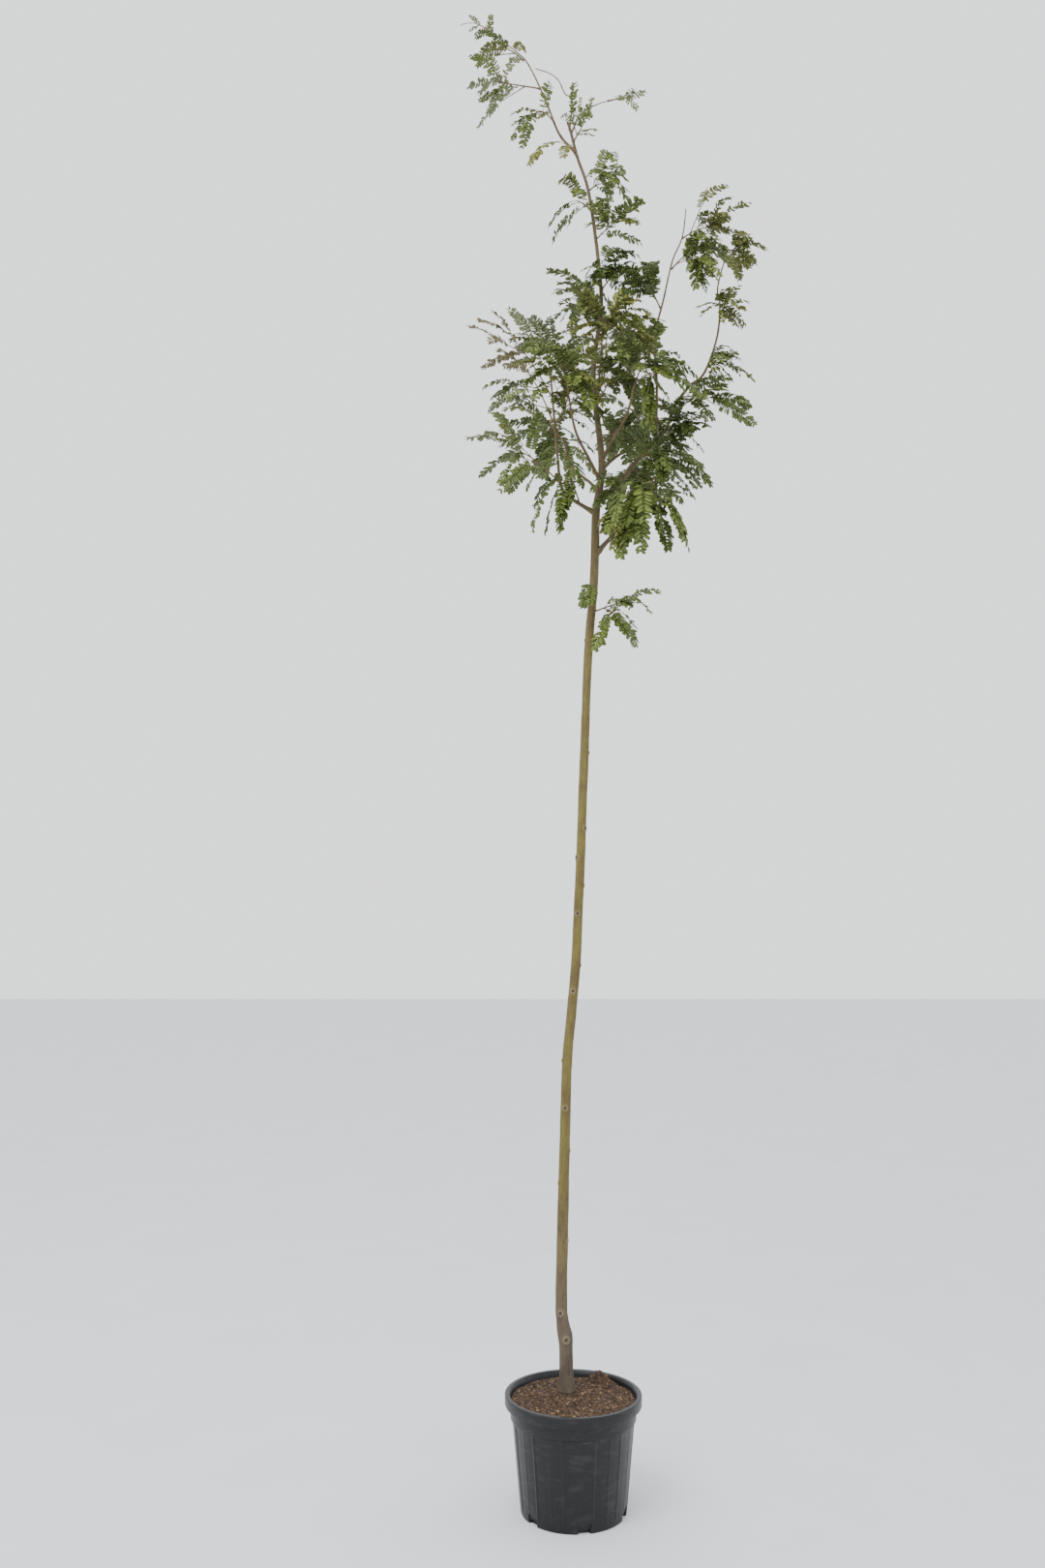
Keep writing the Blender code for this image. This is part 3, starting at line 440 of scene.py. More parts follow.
SPRAYS = (
    Spray("leaves_top_tip", "bough_top_arch", 1.0, (-0.286, -0.030, 4.300), 0.004, 0, 5,
          0.040, 0.3, Tone.OLIVE),
    Spray("leaves_top_crest", "bough_top_arch", 0.74, (-0.190, -0.080, 4.185), 0.004, 1,
          6, 0.10, 1.6, Tone.OLIVE),
    Spray("leaves_top_left", "bough_top_arch", 0.52, (-0.225, -0.050, 4.100), 0.000, 2,
          9, 0.10, 0.8, Tone.PALE),
    Spray("leaves_top_mid", "bough_top_arch", 0.25, (-0.090, -0.030, 4.020), 0.010, 1, 6,
          0.10, 0.8, Tone.MID),
    Spray("leaves_top_right", "bough_top_right", 1.0, (0.190, -0.038, 4.058), 0.002, 0,
          4, 0.05, 0.4, Tone.MID),
    Spray("leaves_top_cluster", "trunk", 3.950, (0.045, -0.018, 3.990), 0.000, 1, 7,
          0.09, 0.6, Tone.MID),
    Spray("leaves_arch", "trunk", 3.895, (-0.006, -0.014, 3.922), 0.004, 0, 3, 0.20, 2.0,
          Tone.OLIVE),
    Spray("leaves_leader_high", "trunk", 3.795, (0.096, 0.000, 3.808), 0.004, 1, 6, 0.14,
          2.2, Tone.MID),
    Spray("leaves_leader_left", "trunk", 3.735, (0.022, -0.004, 3.752), 0.004, 1, 5,
          0.13, 1.8, Tone.MID),
    Spray("leaves_leader_right", "trunk", 3.640, (0.124, 0.000, 3.672), 0.004, 1, 7,
          0.13, 1.2, Tone.MID),
    Spray("leaves_leader_mid", "trunk", 3.480, (0.145, -0.035, 3.520), 0.006, 2, 11,
          0.12, 1.8, Tone.DEEP),
    Spray("leaves_leader_front", "trunk", 3.430, (0.044, -0.048, 3.452), 0.004, 1, 5,
          0.12, 0.9, Tone.MID),
    Spray("leaves_left_top", "bough_left", 1.0, (-0.082, -0.070, 3.300), 0.006, 2, 8,
          0.13, 0.8, Tone.PALE),
    Spray("leaves_left_far", "bough_left", 0.84, (-0.170, -0.020, 3.322), 0.010, 2, 7,
          0.13, 0.6, Tone.BRONZE),
    Spray("leaves_left_mid", "bough_left", 0.66, (-0.135, -0.060, 3.215), 0.016, 2, 8,
          0.12, 1.2, Tone.PALE),
    Spray("leaves_left_low", "bough_left", 0.30, (-0.185, -0.030, 2.985), 0.018, 3, 9,
          0.13, 0.7, Tone.MID),
    Spray("leaves_left_hang", "bough_left", 0.12, (-0.022, -0.075, 2.905), 0.014, 1, 7,
          0.17, 2.4, Tone.DEEP),
    Spray("leaves_left_inner", "bough_left", 0.58, (0.012, -0.100, 3.170), 0.010, 2, 12,
          0.12, 1.2, Tone.OLIVE),
    Spray("leaves_stem_right", "trunk", 3.120, (0.150, -0.045, 3.230), 0.010, 3, 13,
          0.12, 1.1, Tone.MID),
    Spray("leaves_stem_low", "trunk", 3.010, (0.185, 0.060, 3.090), 0.008, 2, 11, 0.13,
          1.3, Tone.DEEP),
    Spray("leaves_upright_low", "bough_upright", 0.26, (0.200, -0.060, 3.285), 0.006, 3,
          11, 0.12, 1.0, Tone.MID),
    Spray("leaves_upright_mid", "bough_upright", 0.55, (0.222, -0.080, 3.460), 0.006, 2,
          8, 0.12, 0.9, Tone.DEEP),
    Spray("leaves_upright_high", "bough_upright", 0.72, (0.375, -0.060, 3.580), 0.006, 2,
          9, 0.11, 1.5, Tone.MID),
    Spray("leaves_upright_tip", "bough_upright", 0.86, (0.445, -0.030, 3.655), 0.014, 3,
          10, 0.09, 0.9, Tone.OLIVE),
    Spray("leaves_shoot_top", "bough_right_shoot", 1.0, (0.510, 0.050, 3.620), 0.000, 1,
          7, 0.09, 1.4, Tone.OLIVE),
    Spray("leaves_shoot_mid", "bough_right_shoot", 0.55, (0.480, 0.010, 3.430), 0.006, 1,
          7, 0.09, 1.4, Tone.OLIVE),
    Spray("leaves_shoot_low", "bough_right_shoot", 0.20, (0.425, -0.020, 3.245), 0.006,
          2, 8, 0.085, 1.3, Tone.MID),
    Spray("leaves_right_tip", "bough_right", 0.90, (0.405, -0.030, 3.130), 0.006, 2, 8,
          0.13, 0.9, Tone.MID),
    Spray("leaves_right_mid", "bough_right", 0.68, (0.340, -0.020, 3.050), 0.004, 1, 8,
          0.13, 1.1, Tone.DEEP),
    Spray("leaves_right_low", "bough_right", 0.45, (0.275, -0.030, 2.950), -0.004, 1, 9,
          0.11, 1.0, Tone.DEEP),
    Spray("leaves_right_inner", "bough_right", 0.30, (0.205, 0.110, 2.960), 0.004, 2, 8,
          0.15, 1.3, Tone.DEEP),
    Spray("leaves_low_hang", "bough_low_right", 0.74, (0.216, -0.130, 2.790), 0.012, 1,
          9, 0.24, 3.4, Tone.MID),
    Spray("leaves_low_out", "bough_low_right", 1.0, (0.275, -0.085, 2.905), 0.004, 1, 10,
          0.16, 2.2, Tone.DEEP),
    Spray("leaves_low_inner", "bough_low_right", 0.48, (0.130, -0.060, 2.850), 0.000, 1,
          8, 0.15, 1.8, Tone.DEEP),
    Spray("leaves_low_twig", "trunk", 2.500, (0.165, -0.004, 2.530), 0.004, 1, 7, 0.12,
          1.1, Tone.MID),
    Spray("leaves_low_front", "trunk", 2.560, (0.068, -0.042, 2.560), 0.004, 0, 4, 0.14,
          3.4, Tone.DEEP),
    Spray("leaves_front_left", "bough_front_left", 1.0, (-0.030, -0.250, 3.140), 0.008,
          3, 8, 0.15, 1.1, Tone.MID),
    Spray("leaves_front_right", "bough_front_right", 1.0, (0.198, -0.245, 3.145), 0.008,
          3, 9, 0.15, 1.1, Tone.MID),
    Spray("leaves_back_left", "bough_back_left", 1.0, (-0.055, 0.270, 3.150), 0.008, 3,
          8, 0.16, 1.2, Tone.DEEP),
    Spray("leaves_back_right", "bough_back_right", 1.0, (0.240, 0.300, 3.200), 0.008, 3,
          8, 0.16, 1.2, Tone.DEEP),
    Spray("leaves_back_high", "bough_back_high", 1.0, (0.125, 0.205, 3.440), 0.006, 3, 9,
          0.15, 1.0, Tone.DEEP),
    Spray("leaves_front_high", "bough_front_high", 1.0, (0.090, -0.170, 3.310), 0.006, 3,
          9, 0.13, 1.2, Tone.OLIVE),
)


class Limb:
    """The centre line and radii of the trunk or of a bough."""

    def __init__(self, bends: Array, rings: int,
                 radii_of: Callable[[Array, Array], Array]) -> None:
        """Works out the coarse line that the leaves keep clear of, and keeps the bends.

        Args:
            bends: The points that it goes through.
            rings: How many rings its solid has.
            radii_of: A function from points and shares to radii.
        """
        self.bends = np.asarray(bends, dtype=float)
        self.radii_of = radii_of
        self.line, self.radii = self.drawn(rings)

    def drawn(self, rings: int) -> tuple[Array, Array]:
        """Draws the limb with a number of rings.

        Args:
            rings: How many rings.

        Returns:
            The centre line and the radius at each of its points.
        """
        line = smooth_line(self.bends, rings)
        return line, self.radii_of(line, np.linspace(0.0, 1.0, rings))

    def at(self, share: float) -> tuple[Array, Array]:
        """Finds a place on the limb.

        Args:
            share: The share of its length.

        Returns:
            The centre and the direction there.
        """
        return place_on(self.line, share)

    def share_at_height(self, height: float) -> float:
        """Finds where a rising limb reaches a height.

        Args:
            height: The height in metres.

        Returns:
            The share of its length.
        """
        shares = np.linspace(0.0, 1.0, len(self.line))
        return float(np.interp(height, self.line[:, 2], shares))

    def gaps(self, points: Array) -> Array:
        """Measures points against the limb's surface.

        Args:
            points: Points, one a row.

        Returns:
            Each point's distance, below zero inside the limb.
        """
        distances, shares = distances_to_line(points, self.line)
        return distances - np.interp(shares, np.linspace(0, 1, len(self.radii)), self.radii)


def trunk_radii(line: Array, shares: Array) -> Array:
    """Reads the trunk's radius off its girths by height.

    Args:
        line: Points on the trunk's centre line.
        shares: The shares of its length, which the girths don't need.

    Returns:
        The radius at each point.
    """
    heights, girths = zip(*TRUNK_GIRTHS)
    return np.interp(line[:, 2], heights, girths)


def plan_limbs() -> dict[str, Limb]:
    """Works out every limb from the one that it grows from.

    Returns:
        The limbs by name, the trunk first.
    """
    limbs = {"trunk": Limb((FOOT,) + TRUNK_BENDS, TRUNK_RINGS, trunk_radii)}
    for bough in BOUGHS:
        parent = limbs[bough.parent]
        share = parent.share_at_height(bough.at) if bough.parent == "trunk" else bough.at
        centre, direction = parent.at(share)
        start = centre + direction * CLEARANCE if share == 1.0 else centre
        bends = np.vstack([start, bough.bends])
        rings = max(LEAST_RINGS, round(length_of(bends) / BOUGH_RING_SPACING) + 2)
        base, tip = bough.base_radius, bough.tip_radius

        def radii_of(line: Array, shares: Array, base: float = base, tip: float = tip) -> Array:
            """Tapers the bough's radius from its foot to its tip by a power of the share.

            Args:
                line: Points on its centre line, which the taper doesn't need.
                shares: The share of its length at each point.
                base: The radius at its foot.
                tip: The radius at its tip.

            Returns:
                The radius at each point.
            """
            return base + (tip - base) * shares**TAPER_POWER

        limbs[bough.name] = Limb(bends, rings, radii_of)
    return limbs


def spray_stem(spray: Spray, limbs: dict[str, Limb]) -> Array:
    """Draws a spray's stem from the side or the tip of its limb.

    Args:
        spray: The spray.
        limbs: Every limb by name.

    Returns:
        Points along the stem, outside its limb.
    """
    limb = limbs[spray.limb]
    share = limb.share_at_height(spray.at) if spray.limb == "trunk" else spray.at
    centre, direction = limb.at(share)
    tip = np.array(spray.tip)
    if share == 1.0:
        return raised_line(centre + direction * CLEARANCE, tip, spray.rise, SPRAY_POINTS)
    line = raised_line(centre, tip, spray.rise, FINE_POINTS)
    outside = int(np.argmax(limb.gaps(line) >= CLEARANCE))
    return evenly(line[outside:], SPRAY_POINTS)


class Leaf:
    """One feathered leaf: its arching rib, the direction across it, and its half width."""

    def __init__(self, root: Array, heading: Array, length: float, droop: float, roll: float,
                 facing: float) -> None:
        """Draws the rib and the directions across and above it.

        Args:
            root: Where the leaf leaves its twig.
            heading: Its direction there.
            length: The length of its rib.
            droop: How strongly the rib turns down.
            roll: How far the blade is rolled about its rib.
            facing: Which way a hanging leaf faces.
        """
        self.length = length
        self.half_width = WIDTH_FACTOR * math.sqrt(length)
        self.line = arching_line(root, heading, length, droop, LEAF_POINTS)
        headings = unit(np.gradient(self.line, axis=0))
        aside = np.array((math.cos(facing), math.sin(facing), 0.0))
        flat = np.cross(heading, UP) + ASIDE * aside
        flat = unit(flat - (headings * flat).sum(-1, keepdims=True) * headings)
        above = np.cross(flat, headings)
        self.across = math.cos(roll) * flat + math.sin(roll) * above
        self.above = np.cross(self.across, headings)
        self.points = self.spread()

    def width_at(self, share: Array) -> Array:
        """Gives the half width, less the cube of the distance from the middle towards both ends.

        Args:
            share: Shares of the length.

        Returns:
            The half widths there.
        """
        return self.half_width * (1 - END_NARROWING * np.abs(2 * share - 1) ** 3)

    def spread(self) -> Array:
        """Spreads points over the leaf: the rib's points moved across by shares of the width.

        Returns:
            Rows of points from the root to the tip.
        """
        widths = self.width_at(np.linspace(0.0, 1.0, LEAF_POINTS))
        widths[0] = ROOT_HALF_WIDTH
        edges = self.across * widths[:, None]
        return self.line[:, None] + edges[:, None] * np.linspace(-1, 1, ACROSS_POINTS)[:, None]


class Branching:
    """The stems and twigs of all sprays, whose nearest one decides whose space a point is in."""

    def __init__(self, limbs: dict[str, Limb]) -> None:
        """Draws the stems, then the twigs of every spray.

        Args:
            limbs: Every limb by name.
        """
        self.limbs = limbs
        self.stems = [spray_stem(spray, limbs) for spray in SPRAYS]
        self.twigs: list[list[Array]] = [[] for _ in SPRAYS]
        self.gather()
        self.twigs = [self.grow_twigs(index) for index in range(len(SPRAYS))]
        self.gather()

    def gather(self) -> None:
        """Lists the straight pieces of every stem and twig, with the spray of each."""
        lines = [(index, line) for index, stem in enumerate(self.stems)
                 for line in [stem] + self.twigs[index]]
        self.starts = np.concatenate([line[:-1] for _, line in lines])
        self.spans = np.concatenate([np.diff(line, axis=0) for _, line in lines])
        self.owners = np.concatenate([np.full(len(line) - 1, index) for index, line in lines])

    def has_room(self, points: Array, index: int) -> bool:
        """Tests whether points are nearer to this spray's wood than to any other spray's.

        Args:
            points: Points, one a row.
            index: The spray's place in the list.

        Returns:
            True if all of them are.
        """
        offsets = points[:, None] - self.starts
        t = np.clip((offsets * self.spans).sum(-1) / (self.spans**2).sum(-1), 0.0, 1.0)
        gaps = np.linalg.norm(offsets - t[..., None] * self.spans, axis=-1)
        own = gaps[:, self.owners == index].min(axis=1)
        other = gaps[:, self.owners != index].min(axis=1)
        return bool((own + SPACE_MARGIN < other).all())

    def clears_limbs(self, points: Array, margin: float) -> bool:
        """Tests whether points stay off the trunk and every bough.

        Args:
            points: Points, one a row.
            margin: The least distance.

        Returns:
            True if all of them do.
        """
        return all((limb.gaps(points) > margin).all() for limb in self.limbs.values())

    def grow_twigs(self, index: int) -> list[Array]:
        """Branches one stem by golden turns, and skips a twig that finds no room.

        Args:
            index: The spray's place in the list.

        Returns:
            The lines of its twigs.
        """
        spray, stem = SPRAYS[index], self.stems[index]
        draw = np.random.default_rng(SEED + index)
        twigs = []
        for number in range(spray.twigs):
            for _ in range(TRIES):
                first, last = TWIG_PLACES
                share = first + (last - first) * (number + draw.random()) / spray.twigs
                azimuth = number * GOLDEN_TURN + draw.uniform(-TWIG_TURN_SPREAD, TWIG_TURN_SPREAD)
                angle = draw.uniform(*TWIG_ANGLES)
                longest = TWIG_LENGTH_SHARE * length_of(stem)
                length = TWIG_LEAST_LENGTH + longest * (TWIG_LONGEST_AT - share)
                length *= draw.uniform(*TWIG_LENGTH_SPREAD)
                root, direction = place_on(stem, share)
                heading = turned(direction, angle, azimuth)
                line = arching_line(root, heading, length, TWIG_DROOP, TWIG_POINTS)
                clear = self.clears_limbs(evenly(line, TEST_POINTS)[2:], TWIG_MARGIN)
                if clear and self.has_room(line, index):
                    twigs.append(line)
                    break
        return twigs


class Foliage:
    """One spray's leaves, set from the tips of its wood inwards, and more leaves between them."""

    def __init__(self, index: int, branching: Branching) -> None:
        """Draws the leaves that the solids have, then the ones between them.

        Args:
            index: The spray's place in the list.
            branching: The stems and twigs of all sprays.
        """
        self.index = index
        self.spray = SPRAYS[index]
        self.branching = branching
        self.axes = [branching.stems[index]] + branching.twigs[index]
        self.draw = np.random.default_rng(LEAF_SEED + index)
        self.leaves: list[Leaf] = []
        for number in range(self.spray.leaves):
            self.add_leaf(number)
        self.between = self.leaves_between()

    def is_crowded(self, leaf: Leaf) -> bool:
        """Tests whether a leaf crosses one that is already there.

        Args:
            leaf: The new leaf.

        Returns:
            True if any two of their outer points are too near.
        """
        outer = leaf.points[ROOT_ROWS:].reshape(-1, 1, 3)
        for other in self.leaves:
            gaps = np.linalg.norm(outer - other.points[ROOT_ROWS:].reshape(-1, 3), axis=-1)
            if gaps.min() < LEAF_GAP:
                return True
        return False

    def add_leaf(self, number: int) -> None:
        """Draws a leaf until one fits, each try a little shorter, or skips it.

        Args:
            number: The leaf's number in the spray.
        """
        round_number, which = divmod(number, len(self.axes))
        for attempt in range(TRIES):
            leaf = self.try_leaf(self.axes[which], number, round_number, attempt)
            points = leaf.points.reshape(-1, 3)
            if self.is_crowded(leaf) or not self.branching.clears_limbs(points, LIMB_MARGIN):
                continue
            if self.branching.has_room(points, self.index):
                self.leaves.append(leaf)
                return

    def try_leaf(self, axis: Array, number: int, round_number: int, attempt: int) -> Leaf:
        """Draws one leaf by the spray's rule.

        Args:
            axis: The stem or twig that it grows on.
            number: The leaf's number in the spray.
            round_number: How many leaves that axis has already been given.
            attempt: How many tries this leaf has had.

        Returns:
            The leaf.
        """
        draw = self.draw
        share = 1.0 - PLACE_STEP * round_number + draw.uniform(*PLACE_SPREAD)
        share = min(max(share, LEAST_PLACE if round_number else END_PLACES[0]), END_PLACES[1])
        angle = draw.uniform(*(SIDE_ANGLES if round_number else END_ANGLES))
        azimuth = number * GOLDEN_TURN + draw.uniform(-LEAF_TURN_SPREAD, LEAF_TURN_SPREAD)
        length = self.spray.leaf * draw.uniform(*LEAF_LENGTH_SPREAD)
        length *= max(SHORTEST, SHORTER**attempt)
        droop = self.spray.droop * draw.uniform(*DROOP_SPREAD)
        roll = draw.uniform(-ROLL_SPREAD, ROLL_SPREAD)
        facing = draw.uniform(0.0, FULL_TURN)
        point, direction = place_on(axis, share)
        heading = unit(turned(direction, angle, azimuth) + UPWARD * UP)
        return Leaf(point, heading, length, droop, roll, facing)

    def leaves_between(self) -> list[Leaf]:
        """Draws more leaves on the same wood, inside the box of the ones that the solids have.

        Returns:
            The leaves that fit.
        """
        if not self.leaves:
            return []
        known = np.concatenate([leaf.points.reshape(-1, 3) for leaf in self.leaves])
        low, high = known.min(axis=0) - BETWEEN_MARGIN, known.max(axis=0) + BETWEEN_MARGIN
        found = []
        amount = next(share for name, share in BETWEEN_SHARES if self.spray.name.startswith(name))
        for number in range(round(amount * len(self.leaves))):
            axis = self.axes[number % len(self.axes)]
            for attempt in range(BETWEEN_TRIES):
                leaf = self.try_leaf(axis, number, number % BETWEEN_ROUNDS + 1, attempt)
                points = leaf.points.reshape(-1, 3)
                inside = (points >= low).all() and (points <= high).all()
                outer = points[len(points) // BETWEEN_ROOT_SHARE:]
                if inside and self.branching.clears_limbs(outer, CLEARANCE):
                    found.append(leaf)
                    break
        return found


@dataclass
class Shape:
    """A mesh as arrays: points, triangles, and named values for each point or each face."""

    points: Array
    triangles: Array
    point_values: dict[str, Array] = field(default_factory=dict)
    face_values: dict[str, Array] = field(default_factory=dict)

    @staticmethod
    def joined(shapes: list["Shape"]) -> "Shape":
        """Joins shapes into one, each one's triangles counted on from the points before it.

        Args:
            shapes: Shapes with the same named values.

        Returns:
            One shape.
        """
        counts = [0] + [len(shape.points) for shape in shapes[:-1]]
        starts = np.cumsum(counts)
        first = shapes[0]
        return Shape(
            np.concatenate([shape.points for shape in shapes]),
            np.concatenate([shape.triangles + start for shape, start in zip(shapes, starts)]),
            {key: np.concatenate([shape.point_values[key] for shape in shapes])
             for key in first.point_values},
            {key: np.concatenate([shape.face_values[key] for shape in shapes])
             for key in first.face_values},
        )

    def to_object(self, name: str, material: bpy.types.Material) -> bpy.types.Object:
        """Puts the arrays into a smooth shaded mesh object at the origin.

        Args:
            name: The object's name.
            material: Its material.

        Returns:
            The linked object.
        """
        mesh = bpy.data.meshes.new(name)
        mesh.vertices.add(len(self.points))
        mesh.vertices.foreach_set("co", self.points.astype(np.float32).ravel())
        mesh.loops.add(self.triangles.size)
        mesh.loops.foreach_set("vertex_index", self.triangles.astype(np.int32).ravel())
        mesh.polygons.add(len(self.triangles))
        starts = np.arange(0, self.triangles.size, 3, dtype=np.int32)
        mesh.polygons.foreach_set("loop_start", starts)
        mesh.polygons.foreach_set("use_smooth", np.ones(len(self.triangles), dtype=bool))
        for domain, values in (("POINT", self.point_values), ("FACE", self.face_values)):
            for key, value in values.items():
                kind = "FLOAT_VECTOR" if value.ndim == 2 else "FLOAT"
                made = mesh.attributes.new(key, kind, domain)
                made.data.foreach_set("vector" if value.ndim == 2 else "value",
                                      value.astype(np.float32).ravel())
        mesh.update(calc_edges=True)
        mesh.validate()
        mesh.materials.append(material)
        thing = bpy.data.objects.new(name, mesh)
        bpy.context.scene.collection.objects.link(thing)
        LOG.info("%s: %d triangles", name, len(self.triangles))
        return thing


def closed_triangles(rows: int, columns: int) -> Array:
    """Gives the triangles of a grid whose columns close into a ring, with a cap at each end.

    The grid's points are followed by the middle of the first row and the middle of the last.

    Args:
        rows: How many rows of points.
        columns: How many points in each row.

    Returns:
        Two triangles for each cell and one for each side of a cap, facing outwards where rows go
        along and columns go round.
    """
    row, column = np.mgrid[0:rows - 1, 0:columns]
    low = row * columns + column
    beside = row * columns + (column + 1) % columns
    high, high_beside = low + columns, beside + columns
    cells = np.stack([low, beside, high_beside, low, high_beside, high], axis=-1).reshape(-1, 3)
    corner = np.arange(columns)
    after = (corner + 1) % columns
    first, last = rows * columns, rows * columns + 1
    top = (rows - 1) * columns
    root_cap = np.stack([np.full(columns, first), after, corner], axis=1)
    tip_cap = np.stack([np.full(columns, last), top + corner, top + after], axis=1)
    return np.concatenate([cells, root_cap, tip_cap])


def tubes(lines: Array, radii: Array, sides: int) -> Shape:
    """Makes closed tubes: rings of cosine and sine about each line's points, and a cap at each end.

    Args:
        lines: Points along each line, as tube, point, axis.
        radii: Radii as tube, point, or as tube, point, side.
        sides: How many sides.

    Returns:
        All the tubes as one shape.
    """
    count, rings = lines.shape[:2]
    headings = unit(np.gradient(lines, axis=1))
    reference = np.eye(3)[np.abs(headings.mean(axis=1)).argmin(axis=1)][:, None]
    side = unit(reference - (headings * reference).sum(-1, keepdims=True) * headings)
    other = np.cross(headings, side)
    angles = np.linspace(0.0, FULL_TURN, sides, endpoint=False)[:, None]
    spokes = np.cos(angles) * side[:, :, None] + np.sin(angles) * other[:, :, None]
    reach = radii[..., None] if radii.ndim == 3 else radii[:, :, None, None]
    skin = lines[:, :, None] + reach * spokes
    points = np.concatenate([skin.reshape(count, -1, 3), lines[:, :1], lines[:, -1:]], axis=1)
    step = np.arange(count)[:, None, None] * points.shape[1]
    return Shape(points.reshape(-1, 3), (closed_triangles(rings, sides) + step).reshape(-1, 3))


class Graph:
    """A material's node tree, with short ways to add and join nodes."""

    def __init__(self, name: str) -> None:
        """Makes a material with a Principled shader.

        Args:
            name: The material's name.
        """
        self.material = bpy.data.materials.new(name)
        self.material.use_nodes = True
        self.nodes = self.material.node_tree.nodes
        self.links = self.material.node_tree.links
        self.shader = self.nodes["Principled BSDF"]

    def add(self, kind: str, **settings: object) -> bpy.types.Node:
        """Adds a node and sets its properties and inputs.

        Args:
            kind: The node's type name.
            **settings: Properties by name, or inputs by name with their spaces as underscores.

        Returns:
            The node.
        """
        node = self.nodes.new(kind)
        for key, value in settings.items():
            if hasattr(node, key):
                setattr(node, key, value)
            else:
                node.inputs[key.replace("_", " ")].default_value = value
        return node

    def join(self, source: Socket, target: Socket) -> None:
        """Links an output to an input.

        Args:
            source: The output.
            target: The input.
        """
        self.links.new(source, target)

    def noise(self, scale: float, detail: float, stretch: tuple = (1.0, 1.0, 1.0)) -> Socket:
        """Adds noise on Object coordinates.

        Args:
            scale: The noise's scale.
            detail: Its detail.
            stretch: How much the coordinates are multiplied along each axis.

        Returns:
            The noise's value output.
        """
        place = self.add("ShaderNodeTexCoord")
        mapping = self.add("ShaderNodeMapping")
        mapping.inputs["Scale"].default_value = stretch
        made = self.add("ShaderNodeTexNoise", Scale=scale, Detail=detail)
        self.join(place.outputs["Object"], mapping.inputs["Vector"])
        self.join(mapping.outputs["Vector"], made.inputs["Vector"])
        return made.outputs["Fac"]

    def ramp(self, source: Socket, stops: tuple) -> Socket:
        """Adds a colour ramp.

        Args:
            source: The value output that it reads.
            stops: Pairs of a place and a colour.

        Returns:
            The ramp's colour output.
        """
        node = self.add("ShaderNodeValToRGB")
        elements = node.color_ramp.elements
        elements[0].position, elements[0].color = stops[0][0], (*stops[0][1], 1.0)
        elements[1].position, elements[1].color = stops[-1][0], (*stops[-1][1], 1.0)
        for position, colour in stops[1:-1]:
            element = elements.new(position)
            element.color = (*colour, 1.0)
        self.join(source, node.inputs["Fac"])
        return node.outputs["Color"]

    def mix(self, factor: Socket | float, first: Socket | tuple, second: Socket | tuple,
            blend: str = "MIX") -> Socket:
        """Adds a colour mix of two outputs or plain colours.

        Args:
            factor: An output or a number.
            first: An output or a colour.
            second: An output or a colour.
            blend: The blend type.

        Returns:
            The mixed colour output.
        """
        node = self.add("ShaderNodeMix", data_type="RGBA", blend_type=blend)
        for value, socket in ((factor, 0), (first, 6), (second, 7)):
            if isinstance(value, Socket):
                self.join(value, node.inputs[socket])
            elif isinstance(value, tuple):
                node.inputs[socket].default_value = (*value, 1.0)
            else:
                node.inputs[socket].default_value = value
        return node.outputs[2]

    def attribute(self, name: str, output: str = "Fac") -> Socket:
        """Adds a reader of one of the mesh's own named values.

        Args:
            name: The value's name.
            output: Which output to give back.

        Returns:
            The output.
        """
        return self.add("ShaderNodeAttribute", attribute_name=name).outputs[output]

    def bump(self, height: Socket, strength: float, distance: float) -> None:
        """Adds a bump to the shader's normal.

        Args:
            height: The height output.
            strength: The bump's strength.
            distance: The height of the bumps in metres.
        """
        node = self.add("ShaderNodeBump", Strength=strength, Distance=distance)
        self.join(height, node.inputs["Height"])
        self.join(node.outputs["Normal"], self.shader.inputs["Normal"])

    def finished(self, colour: Socket, roughness: float) -> bpy.types.Material:
        """Joins the colour to the shader and sets the roughness.

        Args:
            colour: The colour output.
            roughness: The shader's roughness.

        Returns:
            The material.
        """
        self.join(colour, self.shader.inputs["Base Color"])
        self.shader.inputs["Roughness"].default_value = roughness
        return self.material


@dataclass(frozen=True)
class LeafFinish:
    """The look of one green: its upper side, its paler under side, and its gloss."""

    upper: tuple
    under: tuple
    roughness: float = 0.5
    specular: float = 0.35
    shades: tuple = ((0.0, (0.62, 0.66, 0.60)), (0.5, (1.0, 1.0, 1.0)), (1.0, (1.32, 1.26, 1.12)))
    mottle: tuple = ((0.3, (0.86, 0.88, 0.84)), (0.7, (1.1, 1.08, 1.06)))

    def material(self, name: str) -> bpy.types.Material:
        """Builds the leaf material: two sides, lighter and darker leaflets, and a fine mottle.

        Args:
            name: The material's name.

        Returns:
            The material.
        """
        graph = Graph(name)
        side = graph.mix(graph.attribute("under"), self.upper, self.under)
        shades = graph.ramp(graph.attribute("shade"), self.shades)
        varied = graph.mix(1.0, side, shades, "MULTIPLY")
        mottle = graph.ramp(graph.noise(180.0, 3.0), self.mottle)
        colour = graph.mix(0.7, varied, mottle, "MULTIPLY")
        graph.bump(graph.noise(420.0, 2.0), 0.25, 0.0002)
        graph.shader.inputs["Specular IOR Level"].default_value = self.specular
        return graph.finished(colour, self.roughness)


